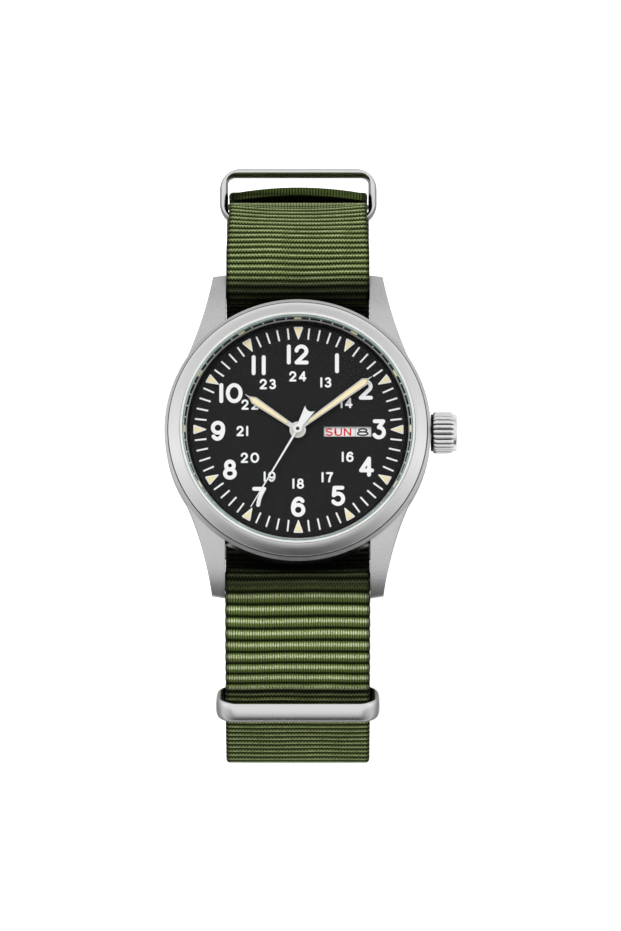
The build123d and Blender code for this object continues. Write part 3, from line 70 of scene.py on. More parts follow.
class NodeWriter:
    """Writes nodes into one tree; each call gives back an output socket."""

    def __init__(self, tree: bpy.types.NodeTree) -> None:
        """Keeps the tree that the nodes go into."""
        self.tree = tree

    def node(self, kind: str, **settings: object) -> bpy.types.Node:
        """Adds one node.

        Args:
            kind: Blender's name of the node type.
            **settings: Properties to set on it.

        Returns:
            The new node.
        """
        made = self.tree.nodes.new(kind)
        for name, value in settings.items():
            setattr(made, name, value)
        return made

    def feed(self, socket: Socket, source: object) -> None:
        """Links a socket to another, or sets its value.

        Args:
            socket: The input to fill.
            source: An output socket, or a plain value.
        """
        if isinstance(source, Socket):
            self.tree.links.new(source, socket)
        else:
            socket.default_value = source

    def call(self, kind: str, inputs: dict[object, object], **settings: object) -> Socket:
        """Adds a node, fills its inputs and gives its first output.

        Args:
            kind: Blender's name of the node type.
            inputs: Values or sockets by input name or number.
            **settings: Properties to set on it.

        Returns:
            The node's first output.
        """
        made = self.node(kind, **settings)
        for key, source in inputs.items():
            self.feed(made.inputs[key], source)
        return made.outputs[0]

    def math(self, operation: str, first: object, second: object = 0.0) -> Socket:
        """Adds one step of arithmetic.

        Args:
            operation: Blender's name of the operation.
            first: First number or socket.
            second: Second number or socket.

        Returns:
            The result.
        """
        return self.call("ShaderNodeMath", {0: first, 1: second}, operation=operation)

    def times(self, *parts: object) -> Socket:
        """Multiplies numbers, from left to right."""
        return functools.reduce(lambda one, two: self.math("MULTIPLY", one, two), parts)

    def plus(self, *parts: object) -> Socket:
        """Adds numbers, from left to right."""
        return functools.reduce(lambda one, two: self.math("ADD", one, two), parts)

    def minus(self, first: object, second: object) -> Socket:
        """Takes the second number from the first."""
        return self.math("SUBTRACT", first, second)

    def over(self, first: object, second: object) -> Socket:
        """Divides the first number by the second."""
        return self.math("DIVIDE", first, second)

    def size_of(self, value: object) -> Socket:
        """Gives a number without its sign."""
        return self.math("ABSOLUTE", value)

    def on_piece(self) -> Socket:
        """Gives the place on the piece's own mesh."""
        return self.node("ShaderNodeTexCoord").outputs["Object"]

    def position(self) -> Socket:
        """Gives the place of each point of a shape."""
        return self.node("GeometryNodeInputPosition").outputs[0]

    def split(self, vector: object) -> list[Socket]:
        """Takes a vector apart.

        Args:
            vector: The vector's socket.

        Returns:
            Its three parts.
        """
        made = self.node("ShaderNodeSeparateXYZ")
        self.feed(made.inputs[0], vector)
        return list(made.outputs)

    def join(self, x: object = 0.0, y: object = 0.0, z: object = 0.0) -> Socket:
        """Puts three numbers together as a vector."""
        return self.call("ShaderNodeCombineXYZ", {0: x, 1: y, 2: z})

    def combine(self, operation: str, first: object, second: object) -> Socket:
        """Works out a vector from two others."""
        return self.call("ShaderNodeVectorMath", {0: first, 1: second}, operation=operation)

    def scaled(self, vector: object, scale: object) -> Socket:
        """Makes a vector longer or shorter."""
        return self.call("ShaderNodeVectorMath", {0: vector, "Scale": scale}, operation="SCALE")

    def noise(self, place: object, scale: float, detail: float = 2.0, roughness: float = 0.5) -> Socket:
        """Spreads soft noise.

        Args:
            place: Coordinates that it follows.
            scale: Its cells in a metre.
            detail: Its levels of detail.
            roughness: Share that each finer level adds.

        Returns:
            The noise, from 0 to 1.
        """
        inputs = {"Vector": place, "Scale": scale, "Detail": detail, "Roughness": roughness}
        return self.call("ShaderNodeTexNoise", inputs)

    def shelter(self, reach_mm: float) -> Socket:
        """Finds how open a surface lies.

        Args:
            reach_mm: How far away other surfaces count.

        Returns:
            The openness, from 0 in a hollow to 1 in the open.
        """
        made = self.node("ShaderNodeAmbientOcclusion", samples=SHELTER_SAMPLES)
        made.inputs["Distance"].default_value = reach_mm * MM
        return made.outputs["AO"]

    def smooth(self, value: object, low: object, high: object) -> Socket:
        """Rises smoothly from 0 to 1 between two values.

        Args:
            value: The number or socket to read.
            low: Where the result is 0.
            high: Where the result is 1.

        Returns:
            The result.
        """
        made = self.node("ShaderNodeMapRange", interpolation_type="SMOOTHSTEP")
        self.feed(made.inputs["Value"], value)
        self.feed(made.inputs["From Min"], low)
        self.feed(made.inputs["From Max"], high)
        return made.outputs["Result"]

    def wave(self, value: object, pitch: object) -> Socket:
        """Repeats from 0 in each groove to 1 on each rib.

        Args:
            value: Distance along the pattern.
            pitch: Distance from rib to rib.

        Returns:
            The height of the rib, from 0 to 1.
        """
        turns = self.over(value, pitch)
        return self.size_of(self.math("SINE", self.times(turns, math.pi)))

    def mix(self, share: object, first: object, second: object) -> Socket:
        """Mixes two numbers.

        Args:
            share: Share of the second.
            first: Number at share 0.
            second: Number at share 1.

        Returns:
            The mixed number.
        """
        made = self.node("ShaderNodeMix", data_type="FLOAT")
        self.feed(made.inputs[0], share)
        self.feed(made.inputs[2], first)
        self.feed(made.inputs[3], second)
        return made.outputs[0]

    def tint(self, share: object, first: Colour, second: Colour) -> Socket:
        """Mixes two colours.

        Args:
            share: Share of the second.
            first: Colour, or socket, at share 0.
            second: Colour, or socket, at share 1.

        Returns:
            The mixed colour.
        """
        made = self.node("ShaderNodeMix", data_type="RGBA")
        self.feed(made.inputs[0], share)
        for slot, colour in ((6, first), (7, second)):
            self.feed(made.inputs[slot], colour if isinstance(colour, Socket) else (*colour, 1.0))
        return made.outputs[2]


def surface_material(name: str) -> tuple[bpy.types.Material, NodeWriter, bpy.types.Node]:
    """Starts a node material.

    Args:
        name: Name of the material.

    Returns:
        The material, a writer for its nodes, and its surface shader.
    """
    material = bpy.data.materials.new(name)
    material.use_nodes = True
    writer = NodeWriter(material.node_tree)
    return material, writer, material.node_tree.nodes["Principled BSDF"]


def bumped(writer: NodeWriter, shader: bpy.types.Node, height: object, depth_mm: float) -> None:
    """Raises a surface by a height pattern.

    Args:
        writer: Writer of the material.
        shader: The surface shader.
        height: Pattern from 0 to 1.
        depth_mm: Height of the pattern in millimetres.
    """
    bump = writer.node("ShaderNodeBump")
    bump.inputs["Strength"].default_value = 1.0
    bump.inputs["Distance"].default_value = depth_mm * MM
    writer.feed(bump.inputs["Height"], height)
    writer.feed(shader.inputs["Normal"], bump.outputs["Normal"])


def tones(colour: Colour, contrast: float) -> tuple[Colour, Colour]:
    """Gives a darker and a lighter tone of a colour.

    Args:
        colour: The colour between them.
        contrast: Share by which they differ from it.

    Returns:
        The darker and the lighter tone.
    """
    darker = tuple(part * (1 - contrast) for part in colour)
    return darker, tuple(min(1.0, part * (1 + contrast)) for part in colour)


@dataclass(frozen=True)
class MetalFinish:
    """Brushed or satin metal with fine grain, faint smudges and uneven gloss, and optional painted shade on
    steep faces and in hollows.
    """

    name: str
    colour: Colour
    roughness: float = 0.3
    grain: Grain = Grain.EVEN
    grain_size_mm: float = 0.06
    stretch: float = 14.0
    depth_mm: float = 0.002
    contrast: float = 0.12
    anisotropic: float = 0.0
    # Share of painted shade on steep faces, whose near-black colour is given below.
    steep_face_shade: float = 0.0
    # Reach of painted shade in hollows, in millimetres; 0 leaves it out.
    hollow_shade_reach_mm: float = 0.0
    smudge_share: float = 0.35
    smudge_scale: float = 180.0
    gloss_swing: float = 0.2
    mean_radius_mm: float = 16
    flat_and_steep: Point = (0.92, 0.35)
    steep_face_shade_colour: Colour = (0.05, 0.05, 0.05)

    def grain_place(self, writer: NodeWriter) -> Socket:
        """Stretches the place on the piece along the grain.

        Args:
            writer: Writer of the material.

        Returns:
            The stretched place.
        """
        place = writer.on_piece()
        if self.grain is Grain.ROUND:
            x, y, z = writer.split(place)
            squares = writer.plus(writer.math("POWER", x, 2.0), writer.math("POWER", y, 2.0))
            reach = writer.math("SQRT", squares)
            around = writer.times(writer.math("ARCTAN2", y, x), self.mean_radius_mm * MM / self.stretch)
            return writer.join(reach, around, z)
        finer = 1 / self.stretch
        along = {Grain.EVEN: (1, 1, 1), Grain.ALONG_X: (finer, 1, 1), Grain.ALONG_Y: (1, finer, 1)}
        return writer.call("ShaderNodeMapping", {"Vector": place, "Scale": along[self.grain]})

    def build(self) -> bpy.types.Material:
        """Makes the material.

        Returns:
            The material.
        """
        material, writer, shader = surface_material(self.name)
        place = self.grain_place(writer)
        fine = writer.noise(place, 1 / (self.grain_size_mm * MM), 4.0)
        both = writer.mix(self.smudge_share, fine, writer.noise(place, self.smudge_scale, 3.0))
        tone = writer.tint(writer.smooth(both, 0.3, 0.7), *tones(self.colour, self.contrast))
        # Painted shade: faces that stand steep, with normals near the horizontal, darken towards a near-black
        # colour.
        if self.steep_face_shade:
            upright = writer.split(writer.node("ShaderNodeNewGeometry").outputs["Normal"])[2]
            steep = writer.smooth(writer.size_of(upright), *self.flat_and_steep)
            tone = writer.tint(writer.times(steep, self.steep_face_shade), tone, self.steep_face_shade_colour)
        # Painted shade: faces in hollows and close to other parts darken towards near black.
        if self.hollow_shade_reach_mm:
            tone = writer.tint(writer.smooth(writer.shelter(self.hollow_shade_reach_mm), 0.25, 0.85), HOLLOW_SHADE_BLACK, tone)
        writer.feed(shader.inputs["Base Color"], tone)
        least, most = self.roughness * (1 - self.gloss_swing), self.roughness * (1 + self.gloss_swing)
        writer.feed(shader.inputs["Roughness"], writer.mix(writer.smooth(both, 0.35, 0.65), least, most))
        shader.inputs["Metallic"].default_value = 1.0
        shader.inputs["Anisotropic"].default_value = self.anisotropic
        bumped(writer, shader, fine, self.depth_mm)
        return material


@dataclass(frozen=True)
class PaintFinish:
    """Paint, print, plastic or rubber with a fine tooth and slight mottling."""

    name: str
    colour: Colour
    roughness: float = 0.5
    grain_size_mm: float = 0.08
    depth_mm: float = 0.003
    contrast: float = 0.08
    specular: float = 0.4
    mottle_scale: float = 260.0
    gloss_swing: float = 0.15

    def build(self) -> bpy.types.Material:
        """Makes the material.

        Returns:
            The material.
        """
        material, writer, shader = surface_material(self.name)
        place = writer.on_piece()
        fine = writer.noise(place, 1 / (self.grain_size_mm * MM), 3.0)
        both = writer.mix(0.5, fine, writer.noise(place, self.mottle_scale))
        tone = writer.tint(writer.smooth(both, 0.3, 0.7), *tones(self.colour, self.contrast))
        writer.feed(shader.inputs["Base Color"], tone)
        least, most = self.roughness * (1 - self.gloss_swing), self.roughness * (1 + self.gloss_swing)
        writer.feed(shader.inputs["Roughness"], writer.mix(both, least, min(1.0, most)))
        shader.inputs["Specular IOR Level"].default_value = self.specular
        bumped(writer, shader, fine, self.depth_mm)
        return material


@dataclass(frozen=True)
class WebbingFinish:
    """Woven nylon with crossing yarns in the grooves, painted shade in the hollows and painted highlights on
    the rib tops.
    """

    name: str
    # Painted shade colour of the grooves, the yarn colour, and the painted highlight colour of the rib tops.
    hollow: Colour = (0.005, 0.009, 0.001)
    yarn: Colour = (0.125, 0.175, 0.045)
    painted_crest_highlight: Colour = (0.74, 0.82, 0.48)
    yarn_pitch_mm: float = 0.44
    thread_pitch_mm: float = 0.34
    thread_sway_mm: float = 0.3
    # Reach of the painted shade in hollows, in millimetres.
    hollow_shade_reach_mm: float = 3.0
    # Ranges of the painted shade on rib flanks and of the painted highlight on rib tops, fine and coarse.
    fine_flank: Point = (0.12, 0.85)
    fine_top: Point = (0.86, 0.99)
    coarse_rise: Point = (0.0, 0.16)
    coarse_fall: Point = (0.98, 0.60)
    coarse_top: float = 0.34
    coarse_top_reach: Point = (0.22, 0.04)
    # Distances from the edge over which the painted edge shade fades out, in millimetres.
    selvedge_shade_mm: Point = (0.1, 0.75)
    specular: float = 0.08
    depth_mm: float = 0.10

    def crossing(
        self, writer: NodeWriter, place: object, along: object, across: object, coarse: object
    ) -> Socket:
        """Lays the yarns that cross the rows.

        Args:
            writer: Writer of the material.
            place: Place on the piece.
            along: Place along the band.
            across: Place across the band.
            coarse: 0 on fine rows, 1 on coarse rows.

        Returns:
            0 between two yarns, 1 on a yarn.
        """
        row = writer.math("FLOOR", writer.over(along, FINE_PITCH / 2 * MM))
        stagger = writer.times(row, self.yarn_pitch_mm / 2 * MM)
        yarn = writer.wave(writer.plus(across, stagger), self.yarn_pitch_mm * MM)
        sway = writer.times(writer.noise(place, 900.0), self.thread_sway_mm * MM)
        thread = writer.wave(writer.plus(across, sway), self.thread_pitch_mm * MM)
        return writer.smooth(writer.mix(coarse, yarn, thread), 0.15, 0.9)

    def weave(
        self, writer: NodeWriter, along: object, rib: object, coarse: object, cross: object, fuzz: object
    ) -> Socket:
        """Colours the yarns, with painted shade in the hollows and painted highlights on the rib tops.

        Args:
            writer: Writer of the material.
            along: Place along the band.
            rib: Height of the rib, from 0 to 1.
            coarse: 0 on fine rows, 1 on coarse rows.
            cross: 0 between two crossing yarns, 1 on a yarn.
            fuzz: Fine noise of the fibres.

        Returns:
            The colour, with its painted shade and painted highlights.
        """
        phase = writer.math("FRACT", writer.over(along, COARSE_PITCH * MM))
        # Painted shade: the colour falls from yarn to near black down the rib flanks and between the crossing
        # yarns.
        slope = writer.times(writer.smooth(phase, *self.coarse_rise), writer.smooth(phase, *self.coarse_fall))
        relief = writer.mix(coarse, writer.smooth(rib, *self.fine_flank), slope)
        body = writer.times(relief, writer.mix(cross, 0.22, 1.0))
        body = writer.plus(body, writer.times(writer.minus(fuzz, 0.5), 0.7))
        colour = writer.tint(writer.smooth(body, 0.0, 0.85), self.hollow, self.yarn)
        # Painted highlight: a bright line along each rib top.
        top = writer.smooth(writer.size_of(writer.minus(phase, self.coarse_top)), *self.coarse_top_reach)
        ridge = writer.mix(coarse, writer.smooth(rib, *self.fine_top), top)
        ridge = writer.times(ridge, writer.mix(cross, 0.18, 1.0), writer.smooth(fuzz, 0.30, 0.62))
        return writer.tint(ridge, colour, self.painted_crest_highlight)

    def light(self, writer: NodeWriter, place: object, across: object, shade: object) -> Socket:
        """Paints shade into hollows, along both selvedges and on the shaded stretches.

        Args:
            writer: Writer of the material.
            place: Place on the piece.
            across: Place across the band.
            shade: Share of light that the band keeps here.

        Returns:
            The share of light.
        """
        patch = writer.noise(place, 220.0, 3.0)
        # Painted shade in hollows, from how open the surface lies.
        light = writer.mix(writer.smooth(writer.shelter(self.hollow_shade_reach_mm), 0.12, 0.75), 0.2, 1.0)
        # Painted shade along both edges of the band, fading out inwards.
        rim = writer.minus(WEBBING_WIDTH / 2 * MM, writer.size_of(across))
        rim = writer.smooth(rim, *(reach * MM for reach in self.selvedge_shade_mm))
        # The stored shade of each stretch is painted shade too.
        light = writer.times(light, writer.mix(rim, 0.25, 1.0), shade)
        return writer.times(light, writer.plus(writer.times(patch, 0.6), 0.7))

    def build(self) -> bpy.types.Material:
        """Makes the material.

        Returns:
            The material.
        """
        material, writer, shader = surface_material(self.name)
        along, across, rib, coarse, shade = (
            writer.node("ShaderNodeAttribute", attribute_name="strap_" + kept).outputs["Fac"]
            for kept in ("s", "w", "rib", "coarse", "shade")
        )
        place = writer.on_piece()
        cross = self.crossing(writer, place, along, across, coarse)
        fuzz = writer.noise(place, 7000.0, 3.0, 0.7)
        tone = self.light(writer, place, across, shade)
        toned = writer.node("ShaderNodeMix", data_type="RGBA", blend_type="MULTIPLY")
        toned.inputs[0].default_value = 1.0
        writer.feed(toned.inputs[6], self.weave(writer, along, rib, coarse, cross, fuzz))
        writer.feed(toned.inputs[7], writer.join(tone, tone, tone))
        writer.feed(shader.inputs["Base Color"], toned.outputs[2])
        writer.feed(shader.inputs["Roughness"], writer.mix(fuzz, 0.62, 0.9))
        shader.inputs["Specular IOR Level"].default_value = self.specular
        height = writer.plus(writer.times(rib, 0.4), writer.times(cross, 0.45), writer.times(fuzz, 0.3))
        bumped(writer, shader, height, self.depth_mm)
        return material


@dataclass(frozen=True)
class GlassFinish:
    """Thin clear crystal that hardly veils the dial."""

    name: str
    alpha: float = 0.03
    veil: tuple[Colour, Colour] = ((0.020, 0.023, 0.024), (0.030, 0.033, 0.034))

    def build(self) -> bpy.types.Material:
        """Makes the material.

        Returns:
            The material.
        """
        material, writer, shader = surface_material(self.name)
        smear = writer.noise(writer.on_piece(), 90.0)
        writer.feed(shader.inputs["Base Color"], writer.tint(smear, *self.veil))
        writer.feed(shader.inputs["Roughness"], writer.mix(smear, 0.03, 0.06))
        shader.inputs["Alpha"].default_value = self.alpha
        shader.inputs["IOR"].default_value = 1.5
        bumped(writer, shader, smear, 0.0005)
        return material


Finish = MetalFinish | PaintFinish | WebbingFinish | GlassFinish
FINISHES: dict[str, Finish] = {finish.name: finish for finish in (
    MetalFinish("satin_steel", (0.60, 0.60, 0.60), 0.32, Grain.EVEN, 0.09, depth_mm=0.003, steep_face_shade=0.75),
    MetalFinish("crown_steel", (0.85, 0.85, 0.85), 0.2, Grain.ALONG_X, 0.05, hollow_shade_reach_mm=0.5),
    MetalFinish("bezel_steel", (0.74, 0.74, 0.74), 0.2, Grain.ROUND, 0.05, 60.0, 0.001, 0.05),
    MetalFinish("keeper_steel", (0.79, 0.79, 0.80), 0.2, Grain.ALONG_X, 0.05, 20.0, 0.0006, 0.04,
                steep_face_shade=0.85, hollow_shade_reach_mm=3.0),
    MetalFinish("hand_metal", (0.86, 0.86, 0.83), 0.3, Grain.EVEN, 0.05, 14.0, 0.001, 0.04),
    MetalFinish("line_metal", (0.42, 0.42, 0.41), 0.3, Grain.ROUND, 0.05, 40.0, 0.001),
    MetalFinish("train_steel", (0.55, 0.55, 0.56), 0.25, Grain.EVEN, 0.04),
    MetalFinish("train_brass", (0.78, 0.60, 0.30), 0.3, Grain.EVEN, 0.06),
    MetalFinish("battery_steel", (0.62, 0.62, 0.63), 0.22, Grain.EVEN, 0.05),
    MetalFinish("copper_winding", (0.72, 0.38, 0.18), 0.35, Grain.ALONG_Y, 0.05, 20.0),
    MetalFinish("stator_iron", (0.30, 0.30, 0.31), 0.45, Grain.ALONG_X, 0.07),
    PaintFinish("black_ring", (0.006, 0.006, 0.006), 0.5, 0.08, 0.002, 0.08, 0.1),
    PaintFinish("black_dial", (0.0138, 0.0138, 0.0142), 0.6, 0.07, 0.004, 0.06, 0.12),
    PaintFinish("white_gasket", (0.80, 0.80, 0.78), 0.5),
    PaintFinish("marker_cream", (1.0, 0.88, 0.54), 0.7, 0.06, 0.002, 0.03, 0.2),
    PaintFinish("cream_paint", (0.98, 0.86, 0.56), 0.7, 0.06, 0.002, 0.03, 0.2),
    PaintFinish("white_print", (0.97, 0.97, 0.97), 0.6, 0.05, 0.001, 0.02, 0.2),
    PaintFinish("white_hand", (0.90, 0.91, 0.91), 0.45, 0.06, 0.001, 0.03),
    PaintFinish("dark_line", (0.03, 0.03, 0.03), 0.5),
    PaintFinish("red_print", (0.80, 0.01, 0.01), 0.6, 0.05, 0.001, 0.05, 0.2),
    PaintFinish("black_print", (0.012, 0.012, 0.012), 0.6, 0.05, 0.002),
    PaintFinish("white_disc", (0.97, 0.97, 0.97), 0.6, 0.08, 0.001, 0.02),
    PaintFinish("white_plastic", (0.72, 0.72, 0.70), 0.5),
    PaintFinish("green_board", (0.03, 0.16, 0.07), 0.4),
    PaintFinish("black_rubber", (0.02, 0.02, 0.02), 0.8, 0.1, 0.01),
    PaintFinish("crystal_rim", (0.34, 0.45, 0.43), 0.15, 0.3, 0.001, 0.3, 0.5),
    PaintFinish("seam_shadow", (0.05, 0.05, 0.05), 0.6, 0.05, 0.001, 0.1, 0.1),
    # Near black, for the ring of painted shadow between crown and case.
    PaintFinish("crown_shadow_black", (0.008, 0.008, 0.008), 0.7, 0.1, 0.002, 0.1, 0.1),
    GlassFinish("crystal_glass"),
    WebbingFinish("green_webbing"),
)}


def placed(name: str, data: bpy.types.ID) -> bpy.types.Object:
    """Puts a new object into the scene.

    Args:
        name: Name of the object.
        data: Its mesh, lamp or camera.

    Returns:
        The object, at the origin.
    """
    made = bpy.data.objects.new(name, data)
    bpy.context.scene.collection.objects.link(made)
    return made


class Workshop:
    """Makes materials once, and turns shapes into finished pieces that ride on their bodies."""

    def __init__(self) -> None:
        """Starts with no material made."""
        self.materials: dict[str, bpy.types.Material] = {}

    def finish(self, name: str) -> bpy.types.Material:
        """Gives the material of a finish.

        Args:
            name: Name of the finish.

        Returns:
            Its material, made at the first call.
        """
        if name not in self.materials:
            self.materials[name] = FINISHES[name].build()
        return self.materials[name]

    def piece(
        self, name: str, mesh: Mesh, finish: str, body: str, slot: str = "", replaces: Sequence[str] = ()
    ) -> bpy.types.Object:
        """Turns a mesh into a finished piece.

        Args:
            name: Name of the piece.
            mesh: Its mesh, in place.
            finish: Name of its finish.
            body: Body that it rides on.
            slot: Not used.
            replaces: CAD nodes that it stands for.

        Returns:
            The piece.
        """
        mesh.name = name
        mesh.materials.clear()
        mesh.materials.append(self.finish(finish))
        made = placed(name, mesh)
        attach(made, body)
        if replaces:
            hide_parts(*replaces)
        log.info("%s: %d faces on %s", name, len(mesh.polygons), body)
        return made

    def dress(self, node: str, finish: str) -> None:
        """Gives a CAD node its finish.

        Args:
            node: Name of the node.
            finish: Name of the finish.
        """
        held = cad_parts[node]
        held.data.materials.clear()
        held.data.materials.append(self.finish(finish))
        log.info("%s: CAD shape, %s", node, finish)


def mesh_from(
    vertices: Sequence[Sequence[float]], faces: Sequence[Sequence[int]], sharp_degrees: float = 35.0
) -> Mesh:
    """Makes a clean mesh with its faces outwards.

    Args:
        vertices: Points in metres.
        faces: Corner numbers of each face.
        sharp_degrees: Edges sharper than this stay crisp.

    Returns:
        The mesh.
    """
    mesh = bpy.data.meshes.new("shape")
    mesh.from_pydata([tuple(point) for point in vertices], [], [tuple(face) for face in faces])
    tidy_mesh(mesh, sharp_degrees)
    return mesh


def tidy_mesh(mesh: Mesh, sharp_degrees: float = 35.0) -> None:
    """Merges doubles, turns the faces outwards and smooths the shading.

    Args:
        mesh: The mesh to tidy.
        sharp_degrees: Edges sharper than this stay crisp.
    """
    shape = bmesh.new()
    shape.from_mesh(mesh)
    bmesh.ops.remove_doubles(shape, verts=shape.verts, dist=2e-7)
    bmesh.ops.recalc_face_normals(shape, faces=shape.faces)
    shape.to_mesh(mesh)
    shape.free()
    mesh.polygons.foreach_set("use_smooth", [True] * len(mesh.polygons))
    mesh.set_sharp_from_angle(angle=math.radians(sharp_degrees))


def rounded(
    corners: Sequence[Point], radii: Sequence[float], closed: bool, step_degrees: float = 15.0
) -> list[Point]:
    """Rounds the corners of a line.

    Args:
        corners: Corner points.
        radii: Radius at each corner; an open line's ends have none.
        closed: Whether the line closes on itself.
        step_degrees: Largest turn between two points of an arc.

    Returns:
        Points along the rounded line.
    """
    points: list[Point] = []
    count = len(corners)
    for index, corner in enumerate(corners):
        radius = radii[index] if closed else ([0.0] + list(radii) + [0.0])[index]
        if radius <= 0 or (not closed and index in (0, count - 1)):
            points.append(corner)
            continue
        here = Vector(corner)
        into = (here - Vector(corners[index - 1])).normalized()
        out = (Vector(corners[(index + 1) % count]) - here).normalized()
        turn = into.angle(out)
        if turn < 1e-4:
            points.append(corner)
            continue
        side = 1 if into.x * out.y - into.y * out.x > 0 else -1
        start = here - into * radius * math.tan(turn / 2)
        hub = start + Vector((-into.y, into.x)) * side * radius
        steps = max(2, math.ceil(math.degrees(turn) / step_degrees))
        for step in range(steps + 1):
            angle = side * turn * step / steps
            arm = start - hub
            points.append((
                hub.x + arm.x * math.cos(angle) - arm.y * math.sin(angle),
                hub.y + arm.x * math.sin(angle) + arm.y * math.cos(angle),
            ))
    return points


def turned_mesh(outline: Sequence[Point], radii: Sequence[float], segments: int = 192) -> Mesh:
    """Turns an outline round the axis of the hands.

    Args:
        outline: Radius and height of each corner, in millimetres.
        radii: Rounding of each corner, in millimetres.
        segments: Steps round the axis.

    Returns:
        The closed mesh.
    """
    line = rounded(outline, radii, True, 30.0)
    vertices = []
    faces = []
    count = len(line)
    for step in range(segments):
        turn = 2 * math.pi * step / segments
        for reach, height in line:
            vertices.append((reach * math.cos(turn) * MM, reach * math.sin(turn) * MM, height * MM))
        here, there = step * count, (step + 1) % segments * count
        for index in range(count):
            ahead = (index + 1) % count
            if line[index][0] < 1e-9 and line[ahead][0] < 1e-9:
                continue
            faces.append((here + index, there + index, there + ahead, here + ahead))
    return mesh_from(vertices, faces)


def plate_mesh(outline: Sequence[Point], low: float, high: float) -> Mesh:
    """Makes a flat plate from a convex or star-shaped outline.

    Args:
        outline: Corner points in millimetres.
        low: Height of its underside.
        high: Height of its top.

    Returns:
        The closed mesh.
    """
    count = len(outline)
    vertices = [(x * MM, y * MM, z * MM) for z in (low, high) for x, y in outline]
    faces = [tuple(range(count)), tuple(range(2 * count - 1, count - 1, -1))]
    for index in range(count):
        ahead = (index + 1) % count
        faces.append((index, ahead, count + ahead, count + index))
    return mesh_from(vertices, faces)


def baked(made: bpy.types.Object) -> Mesh:
    """Applies an object's modifiers and takes them off.

    Args:
        made: The object.

    Returns:
        Its plain mesh.
    """
    graph = bpy.context.evaluated_depsgraph_get()
    mesh = bpy.data.meshes.new_from_object(
        made.evaluated_get(graph), preserve_all_data_layers=True, depsgraph=graph)
    made.modifiers.clear()
    return mesh


class NodeShape:
    """A Geometry Nodes tree with named inputs, turned into a plain mesh."""

    def __init__(self, name: str, has_geometry: bool = True) -> None:
        """Starts the tree.

        Args:
            name: Name of the tree.
            has_geometry: Whether it starts from the host's own mesh.
        """
        self.tree = bpy.data.node_groups.new(name, "GeometryNodeTree")
        self.writer = NodeWriter(self.tree)
        self.values: dict[str, object] = {}
        if has_geometry:
            self.tree.interface.new_socket(name="Geometry", in_out="INPUT", socket_type="NodeSocketGeometry")
        self.tree.interface.new_socket(name="Geometry", in_out="OUTPUT", socket_type="NodeSocketGeometry")
        self.entry = self.tree.nodes.new("NodeGroupInput")
        self.exit = self.tree.nodes.new("NodeGroupOutput")

    def size(self, name: str, value: object, kind: str = "NodeSocketFloat") -> Socket:
        """Adds a named input.

        Args:
            name: Name of the input.
            value: Value that the modifier gives it.
            kind: Blender's name of the socket type.

        Returns:
            The socket inside the tree.
        """
        made = self.tree.interface.new_socket(name=name, in_out="INPUT", socket_type=kind)
        self.values[made.identifier] = value
        return next(socket for socket in self.entry.outputs if socket.identifier == made.identifier)

    def store(self, geometry: object, name: str, value: object, kind: str = "FLOAT") -> Socket:
        """Keeps a value on the points under a name.

        Args:
            geometry: Geometry socket.
            name: Name of the attribute.
            value: Its value.
            kind: Blender's name of its type.

        Returns:
            The geometry with the attribute.
        """
        inputs = {"Geometry": geometry, "Name": name, "Value": value}
        return self.writer.call("GeometryNodeStoreNamedAttribute", inputs, data_type=kind, domain="POINT")

    def read(self, name: str, kind: str = "FLOAT") -> Socket:
        """Reads a value kept on the points."""
        return self.writer.call("GeometryNodeInputNamedAttribute", {"Name": name}, data_type=kind)

    def soft_rectangle(self, width: object, height: object, radius: object) -> Socket:
        """Draws a rectangle with round corners.

        Args:
            width: Its width.
            height: Its height.
            radius: Radius of its corners.

        Returns:
            The closed curve.
        """
        edge = self.writer.call("GeometryNodeCurvePrimitiveQuadrilateral", {"Width": width, "Height": height})
        inputs = {"Curve": edge, "Radius": radius, "Count": 4}
        return self.writer.call("GeometryNodeFilletCurve", inputs, mode="POLY")

    def spread_round(self, item: object, count: int, reach_mm: float, skip: int = 0) -> Socket:
        """Sets copies of a shape on a circle, turned outwards.

        Args:
            item: The shape.
            count: Places on the circle.
            reach_mm: Its radius.
            skip: Every place divisible by this stays free, or 0 for none.

        Returns:
            The copies, as instances.
        """
        writer = self.writer
        places = self.size("Count", count, "NodeSocketInt")
        reach = self.size("Reach", reach_mm * MM)
        ring = writer.call("GeometryNodeMeshCircle", {"Vertices": places, "Radius": reach})
        index = writer.node("GeometryNodeInputIndex").outputs[0]
        turn = writer.times(writer.over(index, places), 2 * math.pi)
        inputs = {"Points": ring, "Instance": item, "Rotation": writer.join(z=turn)}
        if skip:
            inputs["Selection"] = writer.math("GREATER_THAN", writer.math("MODULO", index, float(skip)), 0.5)
        return writer.call("GeometryNodeInstanceOnPoints", inputs)

    def bake(self, geometry: object, material: bpy.types.Material, host: Mesh | None = None) -> Mesh:
        """Ends the tree, runs it once and keeps the result.

        Args:
            geometry: Geometry socket that ends the tree.
            material: Material to set.
            host: Mesh that the tree starts from.

        Returns:
            The plain mesh.
        """
        finish = self.size("Material", material, "NodeSocketMaterial")
        real = self.writer.call("GeometryNodeRealizeInstances", {"Geometry": geometry})
        last = self.writer.call("GeometryNodeSetMaterial", {"Geometry": real, "Material": finish})
        self.writer.feed(self.exit.inputs[0], last)
        carrier = placed("carrier", host or bpy.data.meshes.new("empty"))
        modifier = carrier.modifiers.new("shape", "NODES")
        modifier.node_group = self.tree
        for identifier, value in self.values.items():
            modifier[identifier] = value
        mesh = baked(carrier)
        bpy.data.objects.remove(carrier)
        return mesh


@dataclass(frozen=True)
class Hole:
    """Upright hole with round ends through a band."""

    place: Point
    length: float
    width: float
    height: float


@dataclass(frozen=True)
class Bow:
    """Stretch where a band bows outwards, shifts and narrows."""

    place: Point
    reach: float
    bow: float
    shift: float
    taper: float


@dataclass(frozen=True)
class Shade:
    """Stretch of a band that lies in the shade."""

    place: Point
    reach: float
    amount: float


